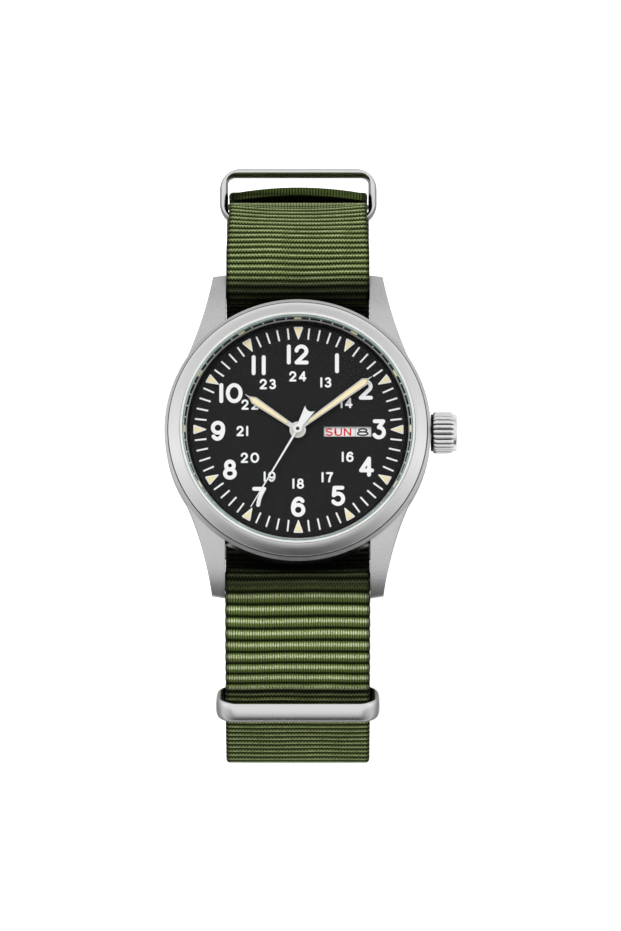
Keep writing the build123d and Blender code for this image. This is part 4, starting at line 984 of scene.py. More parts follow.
@dataclass
class Webbing:
    """One woven band that follows its route through hardware, with ribs across it."""

    shop: Workshop
    name: str
    node: str
    corners: list[Point]
    radii: list[float]
    coarse_from: Point | None = None
    coarse_to: Point | None = None
    width: float = WEBBING_WIDTH
    thickness: float = 1.2
    row: float = 0.15
    fine_pitch: float = FINE_PITCH
    coarse_pitch: float = COARSE_PITCH
    fine_depth: float = 0.13
    coarse_depth: float = 0.30
    holes: list[Hole] = field(default_factory=list)
    bows: list[Bow] = field(default_factory=list)
    shades: list[Shade] = field(default_factory=list)
    cuts: float = 10.0
    sway: float = 0.5
    sway_scale: float = 110.0
    roll_share: float = 0.42
    coarse_fullness: float = 0.75
    edge_calm: float = 0.25
    hole_steps: int = 12

    def route(self) -> list[Point]:
        """Gives the points of the band's middle line."""
        return rounded(self.corners, self.radii, False, 4.0)

    def length_at(self, target: Point) -> float:
        """Finds how far along the route a place is.

        Args:
            target: The place, as Y and Z in millimetres.

        Returns:
            The length from the start, in millimetres.
        """
        travelled = 0.0
        best = (1e9, 0.0)
        points = [Vector(point) for point in self.route()]
        for start, end in zip(points, points[1:]):
            run = end - start
            share = max(0.0, min(1.0, (Vector(target) - start).dot(run) / max(run.length_squared, 1e-12)))
            gap = (start + run * share - Vector(target)).length
            best = min(best, (gap, travelled + run.length * share))
            travelled += run.length
        return best[1]

    def ribbon(self, material: bpy.types.Material) -> Mesh:
        """Runs the ribbon's tree along the route.

        Args:
            material: The webbing material.

        Returns:
            The closed mesh, with its place along and across kept on the points.
        """
        line = [(0.0, y * MM, z * MM) for y, z in self.route()]
        host = bpy.data.meshes.new("route")
        host.from_pydata(line, [(index, index + 1) for index in range(len(line) - 1)], [])
        shape = NodeShape("webbing_ribbon")
        width = shape.size("Width", self.width * MM)
        band = shape.writer.call("GeometryNodeCurveToMesh", {
            "Curve": self.path(shape), "Profile Curve": self.profile(shape, width), "Fill Caps": True})
        band = self.ribs(shape, self.marked(shape, band))
        return shape.bake(self.bent(shape, band, width), material, host)

    def path(self, shape: NodeShape) -> Socket:
        """Cuts the route into rows and keeps the length and the outward side on it.

        Args:
            shape: The ribbon's tree.

        Returns:
            The curve that the ribbon follows.
        """
        writer = shape.writer
        path = writer.call("GeometryNodeMeshToCurve", {0: shape.entry.outputs[0]})
        row = shape.size("Row", self.row * MM)
        path = writer.call("GeometryNodeResampleCurve", {"Curve": path, "Length": row}, mode="LENGTH")
        path = shape.store(path, "strap_s", writer.node("GeometryNodeSplineParameter").outputs["Length"])
        heading = writer.node("GeometryNodeInputTangent").outputs[0]
        outward = writer.combine("CROSS_PRODUCT", heading, (1.0, 0.0, 0.0))
        return shape.store(path, "strap_out", outward, "FLOAT_VECTOR")

    def profile(self, shape: NodeShape, width: object) -> Socket:
        """Draws the section, with enough points across to let it bow.

        Args:
            shape: The ribbon's tree.
            width: Width of the ribbon.

        Returns:
            The section's curve.
        """
        writer = shape.writer
        thickness = shape.size("Thickness", self.thickness * MM)
        edge = shape.soft_rectangle(width, thickness, writer.times(thickness, self.roll_share))
        across, up, _ = writer.split(writer.position())
        flat = writer.math("GREATER_THAN", writer.size_of(up), writer.times(thickness, 0.499))
        begins = writer.math("GREATER_THAN", writer.times(across, up), 0.0)
        cuts = writer.times(flat, begins, shape.size("Cuts across", self.cuts))
        edge = writer.call("GeometryNodeSubdivideCurve", {"Curve": edge, "Cuts": cuts})
        return shape.store(edge, "strap_w", across)

    def marked(self, shape: NodeShape, band: object) -> Socket:
        """Lets the rows wander a little and keeps the shade on the points.

        Args:
            shape: The ribbon's tree.
            band: The ribbon so far.

        Returns:
            The ribbon with its marks.
        """
        writer = shape.writer
        wander = writer.noise(writer.position(), self.sway_scale)
        drift = writer.times(writer.minus(wander, 0.5), shape.size("Sway", self.sway * MM))
        band = shape.store(band, "strap_s", writer.plus(shape.read("strap_s"), drift))
        light: object = 1.0
        for shade in self.shades:
            away = writer.size_of(writer.minus(shape.read("strap_s"), self.length_at(shade.place) * MM))
            near = writer.smooth(away, shade.reach * MM, shade.reach * 0.2 * MM)
            light = writer.times(light, writer.minus(1.0, writer.times(near, shade.amount)))
        return shape.store(band, "strap_shade", light)

    def ribs(self, shape: NodeShape, band: object) -> Socket:
        """Presses the grooves between the ribs, fine ones and coarse ones.

        Args:
            shape: The ribbon's tree.
            band: The ribbon so far.

        Returns:
            The ribbon with its ribs.
        """
        writer = shape.writer
        along = shape.read("strap_s")
        coarse: object = 0.0
        if self.coarse_from and self.coarse_to:
            start = self.length_at(self.coarse_from) * MM
            end = self.length_at(self.coarse_to) * MM
            begun = writer.smooth(along, start, start + 2 * MM)
            coarse = writer.times(begun, writer.smooth(along, end + MM, end - MM))
        fine_rib = writer.wave(along, shape.size("Fine pitch", self.fine_pitch * MM))
        coarse_rib = writer.wave(along, shape.size("Coarse pitch", self.coarse_pitch * MM))
        rib = writer.mix(coarse, fine_rib, writer.math("POWER", coarse_rib, self.coarse_fullness))
        fine_depth = shape.size("Fine depth", self.fine_depth * MM)
        depth = writer.mix(coarse, fine_depth, shape.size("Coarse depth", self.coarse_depth * MM))
        inward = writer.times(writer.minus(rib, 1.0), depth)
        normal = writer.node("GeometryNodeInputNormal").outputs[0]
        calm = writer.combine("MULTIPLY", normal, (self.edge_calm, 1.0, 1.0))
        offset = writer.scaled(calm, inward)
        band = shape.store(shape.store(band, "strap_rib", rib), "strap_coarse", coarse)
        return writer.call("GeometryNodeSetPosition", {"Geometry": band, "Offset": offset})

    def bent(self, shape: NodeShape, band: object, width: object) -> Socket:
        """Bows, shifts and narrows the ribbon near the places of its bows.

        Args:
            shape: The ribbon's tree.
            band: The ribbon so far.
            width: Width of the ribbon.

        Returns:
            The bent ribbon.
        """
        writer = shape.writer
        along = shape.read("strap_s")
        share = writer.over(shape.read("strap_w"), writer.times(width, 0.5))
        dome = writer.minus(1.0, writer.times(share, share))
        out = shape.read("strap_out", "FLOAT_VECTOR")
        across = writer.split(writer.position())[0]
        for bow in self.bows:
            away = writer.size_of(writer.minus(along, self.length_at(bow.place) * MM))
            near = writer.smooth(away, bow.reach * MM, bow.reach * 0.1 * MM)
            lift = writer.times(writer.plus(writer.times(dome, bow.bow * MM), bow.shift * MM), near)
            tuck = writer.join(writer.times(near, across, -bow.taper))
            bend = writer.combine("ADD", writer.scaled(out, lift), tuck)
            band = writer.call("GeometryNodeSetPosition", {"Geometry": band, "Offset": bend})
        return band

    def cutter(self, hole: Hole) -> Mesh:
        """Makes the block that cuts one hole.

        Args:
            hole: The hole.

        Returns:
            An upright block with round ends.
        """
        y, z = hole.place
        half = hole.width / 2
        outline = []
        for end, start in ((1, 0.0), (-1, math.pi)):
            hub = y + end * (hole.length / 2 - half)
            for step in range(self.hole_steps + 1):
                angle = start + math.pi * step / self.hole_steps
                outline.append((half * math.cos(angle), hub + half * math.sin(angle)))
        return plate_mesh(outline, z - hole.height / 2, z + hole.height / 2)

    def build(self) -> None:
        """Makes the band with its holes and puts it on the watch."""
        mesh = self.ribbon(self.shop.finish("green_webbing"))
        tidy_mesh(mesh, 60.0)
        made = self.shop.piece(self.name, mesh, "green_webbing", "watch", "green_webbing", [self.node])
        blocks = []
        for hole in self.holes:
            block = placed("cutter", self.cutter(hole))
            blocks.append(block)
            modifier = made.modifiers.new("hole", "BOOLEAN")
            modifier.operation = "DIFFERENCE"
            modifier.solver = "MANIFOLD"
            modifier.object = block
        if blocks:
            made.data = baked(made)
            for block in blocks:
                bpy.data.objects.remove(block)
            log.info("%s: %d holes, %d faces", self.name, len(blocks), len(made.data.polygons))


@dataclass
class RingKeeper:
    """Metal ring with rounded corners and a soft flattened section that the strap passes through."""

    shop: Workshop
    name: str
    node: str
    body: str
    centre: tuple[float, float, float]
    axis: tuple[float, float, float]
    width: float = 23.0
    height: float = 8.35
    thickness: float = 1.25
    depth: float = 2.8
    corner: float = 3.1
    inner_corner: float = 1.0
    softness: float = 0.92
    section_steps: int = 28

    def corner_line(self, width: float, height: float, radius: float, steps: int = 12) -> list[Point]:
        """Gives the same number of points round any rounded rectangle.

        Args:
            width: Its width.
            height: Its height.
            radius: Its corner radius.
            steps: Steps in each corner.

        Returns:
            The points, corner by corner.
        """
        points = []
        for index, (sx, sy) in enumerate(((1, 1), (-1, 1), (-1, -1), (1, -1))):
            for step in range(steps + 1):
                angle = math.pi / 2 * (index + step / steps)
                points.append((
                    sx * (width / 2 - radius) + radius * math.cos(angle),
                    sy * (height / 2 - radius) + radius * math.sin(angle)))
        return points

    def build(self) -> None:
        """Makes the ring and puts it on its body."""
        outer = self.corner_line(self.width, self.height, self.corner)
        inner_width, inner_height = self.width - 2 * self.thickness, self.height - 2 * self.thickness
        inner = self.corner_line(inner_width, inner_height, self.inner_corner)
        section = []
        for step in range(self.section_steps):
            angle = 2 * math.pi * step / self.section_steps
            cos, sin = math.cos(angle), math.sin(angle)
            section.append((
                math.copysign(abs(cos) ** self.softness, cos),
                math.copysign(abs(sin) ** self.softness, sin) * self.depth / 2))
        upright = Vector(self.axis).normalized()
        across = Vector((1, 0, 0))
        turn = Matrix((across, upright.cross(across), upright)).transposed()
        vertices = []
        for (ox, oy), (ix, iy) in zip(outer, inner):
            for side, height in section:
                share = (1 + side) / 2
                place = turn @ Vector((ix + (ox - ix) * share, iy + (oy - iy) * share, height))
                vertices.append((place + Vector(self.centre)) * MM)
        count, size = len(outer), len(section)
        faces = []
        for place in range(count):
            here, there = place * size, (place + 1) % count * size
            for index in range(size):
                ahead = (index + 1) % size
                faces.append((here + index, there + index, there + ahead, here + ahead))
        mesh = mesh_from(vertices, faces, 60.0)
        self.shop.piece(self.name, mesh, "keeper_steel", self.body, "keeper_steel", [self.node])


def ring_section(inner: float, outer: float, low: float, high: float) -> list[Point]:
    """Gives the outline of a plain ring's section."""
    return [(inner, low), (outer, low), (outer, high), (inner, high)]


@dataclass
class Head:
    """Case front: bezel, crystal, its white ring and the marks at the dial's edge."""

    shop: Workshop
    edge_z: float = 28.15
    bezel_radius: float = 18.08
    bezel_rise: float = 1.5
    lip: float = 0.3
    seat_radius: float = 16.43
    flange_radius: float = 15.7
    crystal_radius: float = 16.1
    crystal_height: float = 1.2
    dome_height: float = 0.58
    dome_steps: int = 14
    bevel_radius: float = 15.86
    bevel_height: float = 0.2
    line_radius: float = 15.59
    line_z: float = 28.3
    mark_radius: float = 15.76
    mark_z: float = 28.475
    mark_height: float = 0.03
    slack: float = 0.01

    def ring(
        self, name: str, outline: list[Point], finish: str, slot: str, replaces: Sequence[str] = (),
        radii: Sequence[float] = (), segments: int = 192,
    ) -> None:
        """Turns one ring and puts it on the watch.

        Args:
            name: Name of the piece.
            outline: Its section.
            finish: Name of its finish.
            slot: Material slot of the record.
            replaces: CAD nodes that it stands for.
            radii: Rounding of each corner, or none for crisp ones.
            segments: Steps round the axis.
        """
        mesh = turned_mesh(outline, radii or [0.0] * len(outline), segments)
        self.shop.piece(name, mesh, finish, "watch", slot, replaces)

    def bezel(self) -> None:
        """Turns the sloping bezel with softened edges, and a thin dark ring round it as a painted shadow line
        where bezel meets case.
        """
        z = self.edge_z
        lip = z + self.lip
        outline = [
            (self.flange_radius, z), (self.bezel_radius, z), (self.bezel_radius, lip),
            (self.seat_radius, z + self.bezel_rise), (self.seat_radius, lip), (self.flange_radius, lip),
        ]
        radii = [0.02, 0.04, 0.12, 0.10, 0.03, 0.03]
        self.ring("bezel_ring", outline, "bezel_steel", "bezel_steel", ["bezel"], radii, 256)
        # Painted shadow: a thin near-black ring where the bezel sits on the case.
        shadow_ring = ring_section(self.bezel_radius + 0.003, self.bezel_radius + 0.13, z - 0.02, z + 0.012)
        self.ring("bezel_seam_shadow", shadow_ring, "seam_shadow", "satin_steel")

    def crystal(self) -> None:
        """Turns the domed crystal, its bevelled edge and the thin white ring round it."""
        low = self.edge_z + self.lip
        rim = low + self.crystal_height
        inner = self.bevel_radius - 0.02
        dome = []
        for step in range(self.dome_steps + 1):
            reach = inner * (1 - step / self.dome_steps)
            dome.append((reach, rim + self.dome_height * (1 - (reach / inner) ** 2)))
        outline = dome + [(reach, height - self.crystal_height) for reach, height in reversed(dome)]
        self.ring("crystal_dome", outline, "crystal_glass", "crystal_glass", ["crystal"], segments=160)
        edge = [
            (self.bevel_radius, low), (self.crystal_radius, low),
            (self.crystal_radius, rim - self.bevel_height), (self.bevel_radius + 0.05, rim),
            (self.bevel_radius, rim),
        ]
        self.ring("crystal_bevel", edge, "crystal_rim", "crystal_glass", radii=[0, 0, 0.05, 0.02, 0])
        ring_shape = ring_section(self.crystal_radius + self.slack, self.seat_radius - self.slack, low, rim)
        replaces = ["crystal_gasket"]
        self.ring("crystal_seal", ring_shape, "white_gasket", "white_gasket", replaces, [0, 0, 0.06, 0.06])

    def dial_edge(self) -> None:
        """Turns the bright edge line of the chapter ring and the black seat of the marks."""
        inner, outer, high = self.line_radius - 0.09, self.line_radius + 0.10, self.line_z
        line = [(inner, high - 0.55), (outer, high - 0.16), (outer, high), (inner, high)]
        self.ring("chapter_line", line, "line_metal", "black_ring", radii=[0, 0, 0.03, 0.03])
        seat_inner, seat_outer = self.flange_radius - 0.02, self.crystal_radius - 0.1
        seat = ring_section(seat_inner, seat_outer, self.mark_z - 0.05, self.mark_z)
        self.ring("crystal_seat", seat, "black_ring", "black_ring")

    def marks(self, name: str, count: int, skip: int, length: float, width: float, finish: str) -> None:
        """Sets round-ended marks on the black seat under the crystal.

        Args:
            name: Name of the piece.
            count: Places round the ring.
            skip: Every place divisible by this stays free, or 0 for none.
            length: Length along the ring in millimetres.
            width: Width across it in millimetres.
            finish: Name of the marks' finish.
        """
        shape = NodeShape(name + "_tree", False)
        writer = shape.writer
        mark_width, mark_length = shape.size("Mark width", width * MM), shape.size("Mark length", length * MM)
        edge = shape.soft_rectangle(mark_width, mark_length, width * 0.49 * MM)
        face = writer.call("GeometryNodeFillCurve", {"Curve": edge}, mode="NGONS")
        up = writer.join(z=1.0)
        mark = writer.node("GeometryNodeJoinGeometry")
        writer.feed(mark.inputs[0], writer.call(
            "GeometryNodeExtrudeMesh", {"Mesh": face, "Offset": up, "Offset Scale": self.mark_height * MM}))
        writer.feed(mark.inputs[0], writer.call("GeometryNodeFlipFaces", {"Mesh": face}))
        spread = shape.spread_round(mark.outputs[0], count, self.mark_radius, skip)
        mesh = shape.bake(spread, self.shop.finish(finish))
        mesh.transform(Matrix.Translation((0, 0, self.mark_z * MM)))
        tidy_mesh(mesh)
        self.shop.piece(name, mesh, finish, "watch", "black_ring")

    def build(self) -> None:
        """Makes every piece of the case front."""
        self.bezel()
        self.crystal()
        self.dial_edge()
        self.marks("minute_dots", count=60, skip=5, length=0.20, width=0.19, finish="white_print")
        self.marks("hour_dashes", count=12, skip=0, length=1.05, width=0.25, finish="cream_paint")


def arc(cx: float, cy: float, rx: float, ry: float, start: float, end: float) -> list[Point]:
    """Gives points of an oval arc.

    Args:
        cx: Centre across.
        cy: Centre up.
        rx: Half width.
        ry: Half height.
        start: First angle in degrees.
        end: Last angle in degrees.

    Returns:
        The points, about ten degrees apart.
    """
    steps = max(3, round(abs(end - start) / 10))
    return [
        (cx + rx * math.cos(math.radians(start + (end - start) * step / steps)),
         cy + ry * math.sin(math.radians(start + (end - start) * step / steps)))
        for step in range(steps + 1)
    ]


def half_turned(strokes: list[list[Point]]) -> list[list[Point]]:
    """Turns a sign upside down.

    Args:
        strokes: Its strokes, one unit high.

    Returns:
        The strokes after half a turn.
    """
    return [[(-x, 1 - y) for x, y in stroke] for stroke in strokes]


SIX = [arc(0, 0.31, 0.31, 0.31, 0, 360), arc(0.03, 0.42, 0.35, 0.58, 190, 48)]
SIGNS: dict[str, list[list[Point]]] = {
    "0": [arc(0, 0.5, 0.39, 0.5, 0, 360)],
    "1": [[(0, 0), (0, 1)]],
    "2": [arc(0, 0.71, 0.3, 0.29, 175, -38) + [(-0.3, 0.0)], [(-0.3, 0), (0.32, 0)]],
    "3": [[(-0.27, 1), (0.25, 1)], [(0.25, 1), (-0.02, 0.62)], arc(-0.02, 0.31, 0.31, 0.31, 90, -150)],
    "s": [arc(-0.02, 0.76, 0.25, 0.24, 150, -90), arc(-0.02, 0.26, 0.29, 0.26, 90, -150)],
    "4": [[(0.15, 1), (-0.33, 0.27)], [(-0.33, 0.27), (0.33, 0.27)], [(0.15, 1), (0.15, 0)]],
    "5": [[(0.27, 1), (-0.2, 1)], [(-0.2, 1), (-0.25, 0.53)], arc(0, 0.32, 0.32, 0.32, 135, -150)],
    "6": SIX,
    "7": [[(-0.3, 1), (0.3, 1)], [(0.3, 1), (0.13, 0.68), (0.01, 0.36), (-0.06, 0)]],
    "8": [arc(0, 0.755, 0.235, 0.245, 0, 360), arc(0, 0.265, 0.3, 0.265, 0, 360)],
    "9": half_turned(SIX),
    "S": [arc(0, 0.75, 0.28, 0.25, 35, 270), arc(0, 0.25, 0.29, 0.25, 90, -150)],
    "U": [[(-0.3, 1), (-0.3, 0.3)] + arc(0, 0.3, 0.3, 0.3, 180, 360) + [(0.3, 1)]],
    "N": [[(-0.3, 0), (-0.3, 1)], [(-0.3, 1), (0.3, 0)], [(0.3, 0), (0.3, 1)]],
    "M": [[(-0.36, 0), (-0.36, 1)], [(-0.36, 1), (0, 0.3)], [(0, 0.3), (0.36, 1)], [(0.36, 1), (0.36, 0)]],
    "O": [arc(0, 0.5, 0.36, 0.5, 0, 360)],
    "T": [[(-0.32, 1), (0.32, 1)], [(0, 1), (0, 0)]],
    "E": [[(-0.25, 0), (-0.25, 1)], [(-0.25, 1), (0.28, 1)], [(-0.25, 0.52), (0.2, 0.52)],
          [(-0.25, 0), (0.28, 0)]],
    "W": [[(-0.42, 1), (-0.2, 0)], [(-0.2, 0), (0, 0.75)], [(0, 0.75), (0.2, 0)], [(0.2, 0), (0.42, 1)]],
    "D": [[(-0.28, 0), (-0.28, 1)], [(-0.28, 1)] + arc(-0.1, 0.5, 0.42, 0.5, 90, -90) + [(-0.28, 0)]],
    "H": [[(-0.3, 0), (-0.3, 1)], [(0.3, 0), (0.3, 1)], [(-0.3, 0.5), (0.3, 0.5)]],
    "F": [[(-0.25, 0), (-0.25, 1)], [(-0.25, 1), (0.28, 1)], [(-0.25, 0.52), (0.2, 0.52)]],
    "R": [[(-0.27, 0), (-0.27, 1)], [(-0.27, 1)] + arc(0.02, 0.75, 0.26, 0.25, 90, -90) + [(-0.27, 0.5)],
          [(0.02, 0.5), (0.3, 0)]],
    "I": [[(0, 0), (0, 1)]],
    "A": [[(-0.34, 0), (0, 1)], [(0, 1), (0.34, 0)], [(-0.2, 0.33), (0.2, 0.33)]],
}


@dataclass
class Lettering:
    """Printed signs: round-ended strokes that lie on a face as thin closed strips."""

    height: float
    stroke: float
    base_z: float
    widen: float = 1.0
    vertices: list[tuple[float, float, float]] = field(default_factory=list)
    faces: list[tuple[int, ...]] = field(default_factory=list)
    lift: float = 0.0
    step: float = 0.0004
    thickness: float = 0.02

    def strip(self, line: Sequence[Point]) -> None:
        """Lays one stroke.

        Args:
            line: Points of the stroke's middle, in millimetres.
        """
        half = self.stroke / 2
        points = [Vector(point) for point in line]
        if (points[0] - points[-1]).length < 1e-6:
            self.loop(points[:-1], half)
            return
        first = (points[1] - points[0]).normalized()
        last = (points[-1] - points[-2]).normalized()
        rows: list[tuple[Vector, Vector, float]] = []
        caps = [(math.sin(math.radians(angle)), math.cos(math.radians(angle))) for angle in (88, 65, 45, 22)]
        for run, wide in caps:
            rows.append((points[0] - first * half * run, first, half * wide))
        for index, point in enumerate(points):
            into = (point - points[index - 1]).normalized() if index else first
            out = (points[index + 1] - point).normalized() if index + 1 < len(points) else last
            heading = (into + out).normalized()
            rows.append((point, heading, half / max(0.5, heading.dot(out))))
        for run, wide in reversed(caps):
            rows.append((points[-1] + last * half * run, last, half * wide))
        start = self.begin()
        for point, heading, wide in rows:
            self.across(point, heading, wide)
        for row in range(len(rows) - 1):
            self.bridge(start + 4 * row, start + 4 * (row + 1))
        self.faces.append(tuple(start + corner for corner in range(4)))
        end = start + 4 * (len(rows) - 1)
        self.faces.append(tuple(end + corner for corner in (3, 2, 1, 0)))

    def begin(self) -> int:
        """Lifts the next stroke a hair above the last and gives the number of its first corner."""
        self.lift += self.step
        return len(self.vertices)

    def across(self, point: Vector, heading: Vector, wide: float) -> None:
        """Adds the four corners of a stroke at one point.

        Args:
            point: The point.
            heading: Direction of the stroke there.
            wide: Half its width there.
        """
        side = Vector((-heading.y, heading.x)) * wide
        top = self.base_z + self.thickness + self.lift
        right, left = point + side, point - side
        for place, z in ((right, top), (left, top), (left, self.base_z), (right, self.base_z)):
            self.vertices.append((place.x * MM, place.y * MM, z * MM))

    def bridge(self, here: int, there: int) -> None:
        """Joins two sets of four corners by four faces.

        Args:
            here: Number of the first corner of one set.
            there: Number of the first corner of the other.
        """
        for corner in range(4):
            after = (corner + 1) % 4
            self.faces.append((here + corner, here + after, there + after, there + corner))

    def loop(self, points: Sequence[Vector], half: float) -> None:
        """Lays one stroke that closes on itself.

        Args:
            points: Points of the stroke's middle.
            half: Half the stroke's width.
        """
        start = self.begin()
        count = len(points)
        for index, point in enumerate(points):
            self.across(point, (points[(index + 1) % count] - points[index - 1]).normalized(), half)
        for index in range(count):
            self.bridge(start + 4 * index, start + 4 * ((index + 1) % count))

    def sign(self, key: str, x: float, y: float, turn: float = 0.0) -> None:
        """Writes one sign.

        Args:
            key: Which sign.
            x: Middle of the sign.
            y: Middle of its height.
            turn: Angle about the axis of the hands, in degrees.
        """
        rise = self.height - self.stroke
        cos, sin = math.cos(math.radians(turn)), math.sin(math.radians(turn))
        for stroke in SIGNS[key]:
            line = [(x + px * rise * self.widen, y + (py - 0.5) * rise) for px, py in stroke]
            self.strip([(px * cos - py * sin, px * sin + py * cos) for px, py in line])

    def half_width(self, key: str) -> float:
        """Gives half the width of a sign, stroke included."""
        reach = max(abs(px) for stroke in SIGNS[key] for px, _ in stroke)
        return reach * (self.height - self.stroke) * self.widen + self.stroke / 2

    def word(self, text: str, x: float, y: float, gap: float, turn: float = 0.0) -> None:
        """Writes signs side by side, centred on a place.

        Args:
            text: The signs.
            x: Middle of the word.
            y: Middle of its height.
            gap: Space between two signs.
            turn: Angle about the axis of the hands, in degrees.
        """
        total = sum(2 * self.half_width(key) for key in text) + gap * (len(text) - 1)
        place = x - total / 2
        for key in text:
            place += self.half_width(key)
            self.sign(key, place, y, turn)
            place += self.half_width(key) + gap

    def mesh(self) -> Mesh:
        """Gives the printed strips as one mesh."""
        return mesh_from(self.vertices, self.faces)


@dataclass
class DialPrint:
    """Numerals, minute ticks and the discs' prints."""

    shop: Workshop
    dial_z: float = 26.95
    disc_z: float = 26.45
    tick_reach: Point = (12.94, 14.56)
    tick_width: float = 0.24
    tick_height: float = 0.03
    outer_shift: Point = (0.1, 0.15)
    day_place: Point = (5.70, -0.10)
    date_place: Point = (9.10, -0.10)
    big: dict[str, Point] = field(default_factory=lambda: {
        "12": (0, 10.9), "1": (5.5, 9.64), "2": (9.52, 5.85), "3": (11.4, 0.19), "4": (9.62, -5.14),
        "5": (5.61, -9.29), "6": (0.08, -10.84), "7": (-5.38, -9.44), "8": (-9.47, -5.56),
        "9": (-11.17, -0.03), "10": (-9.36, 5.36), "11": (-5.48, 9.36),
    })
    small: dict[str, Point] = field(default_factory=lambda: {
        "1s": (3.94, 6.89), "14": (6.84, 3.95), "16": (6.99, -3.74), "17": (4.14, -6.65),
        "18": (0.07, -7.55), "19": (-3.92, -6.56), "20": (-6.69, -3.87), "21": (-7.76, -0.06),
        "22": (-6.70, 3.72), "2s": (-4.21, 6.65), "24": (0, 7.76),
    })
    big_pitch: dict[str, float] = field(default_factory=lambda: {"12": 1.77, "10": 1.81, "11": 1.41})

    def numerals(self) -> None:
        """Prints the hour numerals and the inner 24-hour numerals."""
        large = Lettering(height=2.85, stroke=0.55, base_z=self.dial_z)
        for text, (x, y) in self.big.items():
            pitch = self.big_pitch.get(text, 0.0)
            halves = [large.half_width(key) for key in text]
            shift = (halves[-1] - halves[0]) / 2 if len(text) == 2 else 0.0
            for index, key in enumerate(text):
                large.sign(key, x - shift + (index - (len(text) - 1) / 2) * pitch, y)
        self.shop.piece("hour_numerals", large.mesh(), "white_print", "watch", "black_dial")
        little = Lettering(height=1.47, stroke=0.28, base_z=self.dial_z)
        for text, (x, y) in self.small.items():
            little.word(text, x, y, gap=0.34)
        self.shop.piece("inner_numerals", little.mesh(), "white_print", "watch", "black_dial")

    def ticks(self) -> None:
        """Prints the minute ticks between the hours."""
        shape = NodeShape("minute_ticks_tree", False)
        writer = shape.writer
        inner, outer = self.tick_reach
        length = shape.size("Tick length", (outer - inner) * MM)
        width = shape.size("Tick width", self.tick_width * MM)
        size = writer.join(length, width, self.tick_height * MM)
        tick = writer.call("GeometryNodeMeshCube", {"Size": size})
        spread = shape.spread_round(tick, 60, (inner + outer) / 2, 5)
        mesh = shape.bake(spread, self.shop.finish("white_print"))
        x, y = self.outer_shift
        mesh.transform(Matrix.Translation((x * MM, y * MM, (self.dial_z + 0.01) * MM)))
        tidy_mesh(mesh)
        self.shop.piece("minute_ticks", mesh, "white_print", "watch", "black_dial")

    def markers(self) -> None:
        """Raises the twelve luminous triangles, each on a white border."""
        layers = (
            ("marker_borders", 0.0, self.dial_z, 27.07, "white_print", ["hour_markers"]),
            ("marker_fills", 0.14, 27.065, 27.10, "marker_cream", []),
        )
        foot, point, half, corner = 14.70, 12.76, 0.71, 0.14
        shift = Matrix.Translation((self.outer_shift[0] * MM, self.outer_shift[1] * MM, 0.0))
        for name, rim, low, high, finish, replaced in layers:
            shape = bmesh.new()
            for hour in range(12):
                back, side = foot - rim, half - rim * 1.45
                line = [(back, side), (point + rim * 2.2, 0.0), (back, -side)]
                line = rounded(line, [corner - rim * 0.4, corner / 2, corner - rim * 0.4], True, 20.0)
                mesh = plate_mesh(line, low, high)
                mesh.transform(shift @ Matrix.Rotation(math.pi * hour / 6, 4, "Z"))
                shape.from_mesh(mesh)
            mesh = bpy.data.meshes.new(name)
            shape.to_mesh(mesh)
            shape.free()
            tidy_mesh(mesh)
            self.shop.piece(name, mesh, finish, "watch", "cream_paint", replaced)

    def pip(self) -> None:
        """Caps the seconds hand's arbor with its small dark pip."""
        reach, low, rim, top = 0.26, 28.54, 28.59, 28.60
        mesh = turned_mesh([(0.0, low), (reach, low), (reach, rim), (0.0, top)], [0, 0, 0.02, 0], 32)
        self.shop.piece("hub_pip", mesh, "dark_line", "seconds_group", "white_hand")

    def discs(self) -> None:
        """Prints seven weekdays and thirty-one dates on the discs."""
        section = ring_section(inner=7.8, outer=8.7, low=26.08, high=26.2)
        land = turned_mesh(section, [0, 0, 0, 0], 96)
        self.shop.piece("disc_land", land, "white_disc", "watch", "white_disc")
        red = Lettering(height=1.12, stroke=0.19, base_z=self.disc_z, widen=1.5)
        black = Lettering(height=1.12, stroke=0.2, base_z=self.disc_z, widen=1.35)
        days = ("SUN", "MON", "TUE", "WED", "THU", "FRI", "SAT")
        for index, day in enumerate(days):
            letters = red if index == 0 else black
            letters.word(day, *self.day_place, gap=0.26, turn=360 * index / 7)
        self.shop.piece("sunday_print", red.mesh(), "red_print", "day_group", "white_disc")
        self.shop.piece("weekday_print", black.mesh(), "black_print", "day_group", "white_disc")
        dates = Lettering(height=1.12, stroke=0.2, base_z=self.disc_z)
        for index in range(31):
            text = str((index + 7) % 31 + 1)
            dates.widen = 2.6 if len(text) == 1 else 0.85
            dates.word(text.replace("3", "s"), *self.date_place, gap=0.14, turn=360 * index / 31)
        self.shop.piece("date_print", dates.mesh(), "black_print", "date_group", "white_disc")

    def build(self) -> None:
        """Prints everything."""
        self.ticks()
        self.numerals()
        self.markers()
        self.pip()
        self.discs()


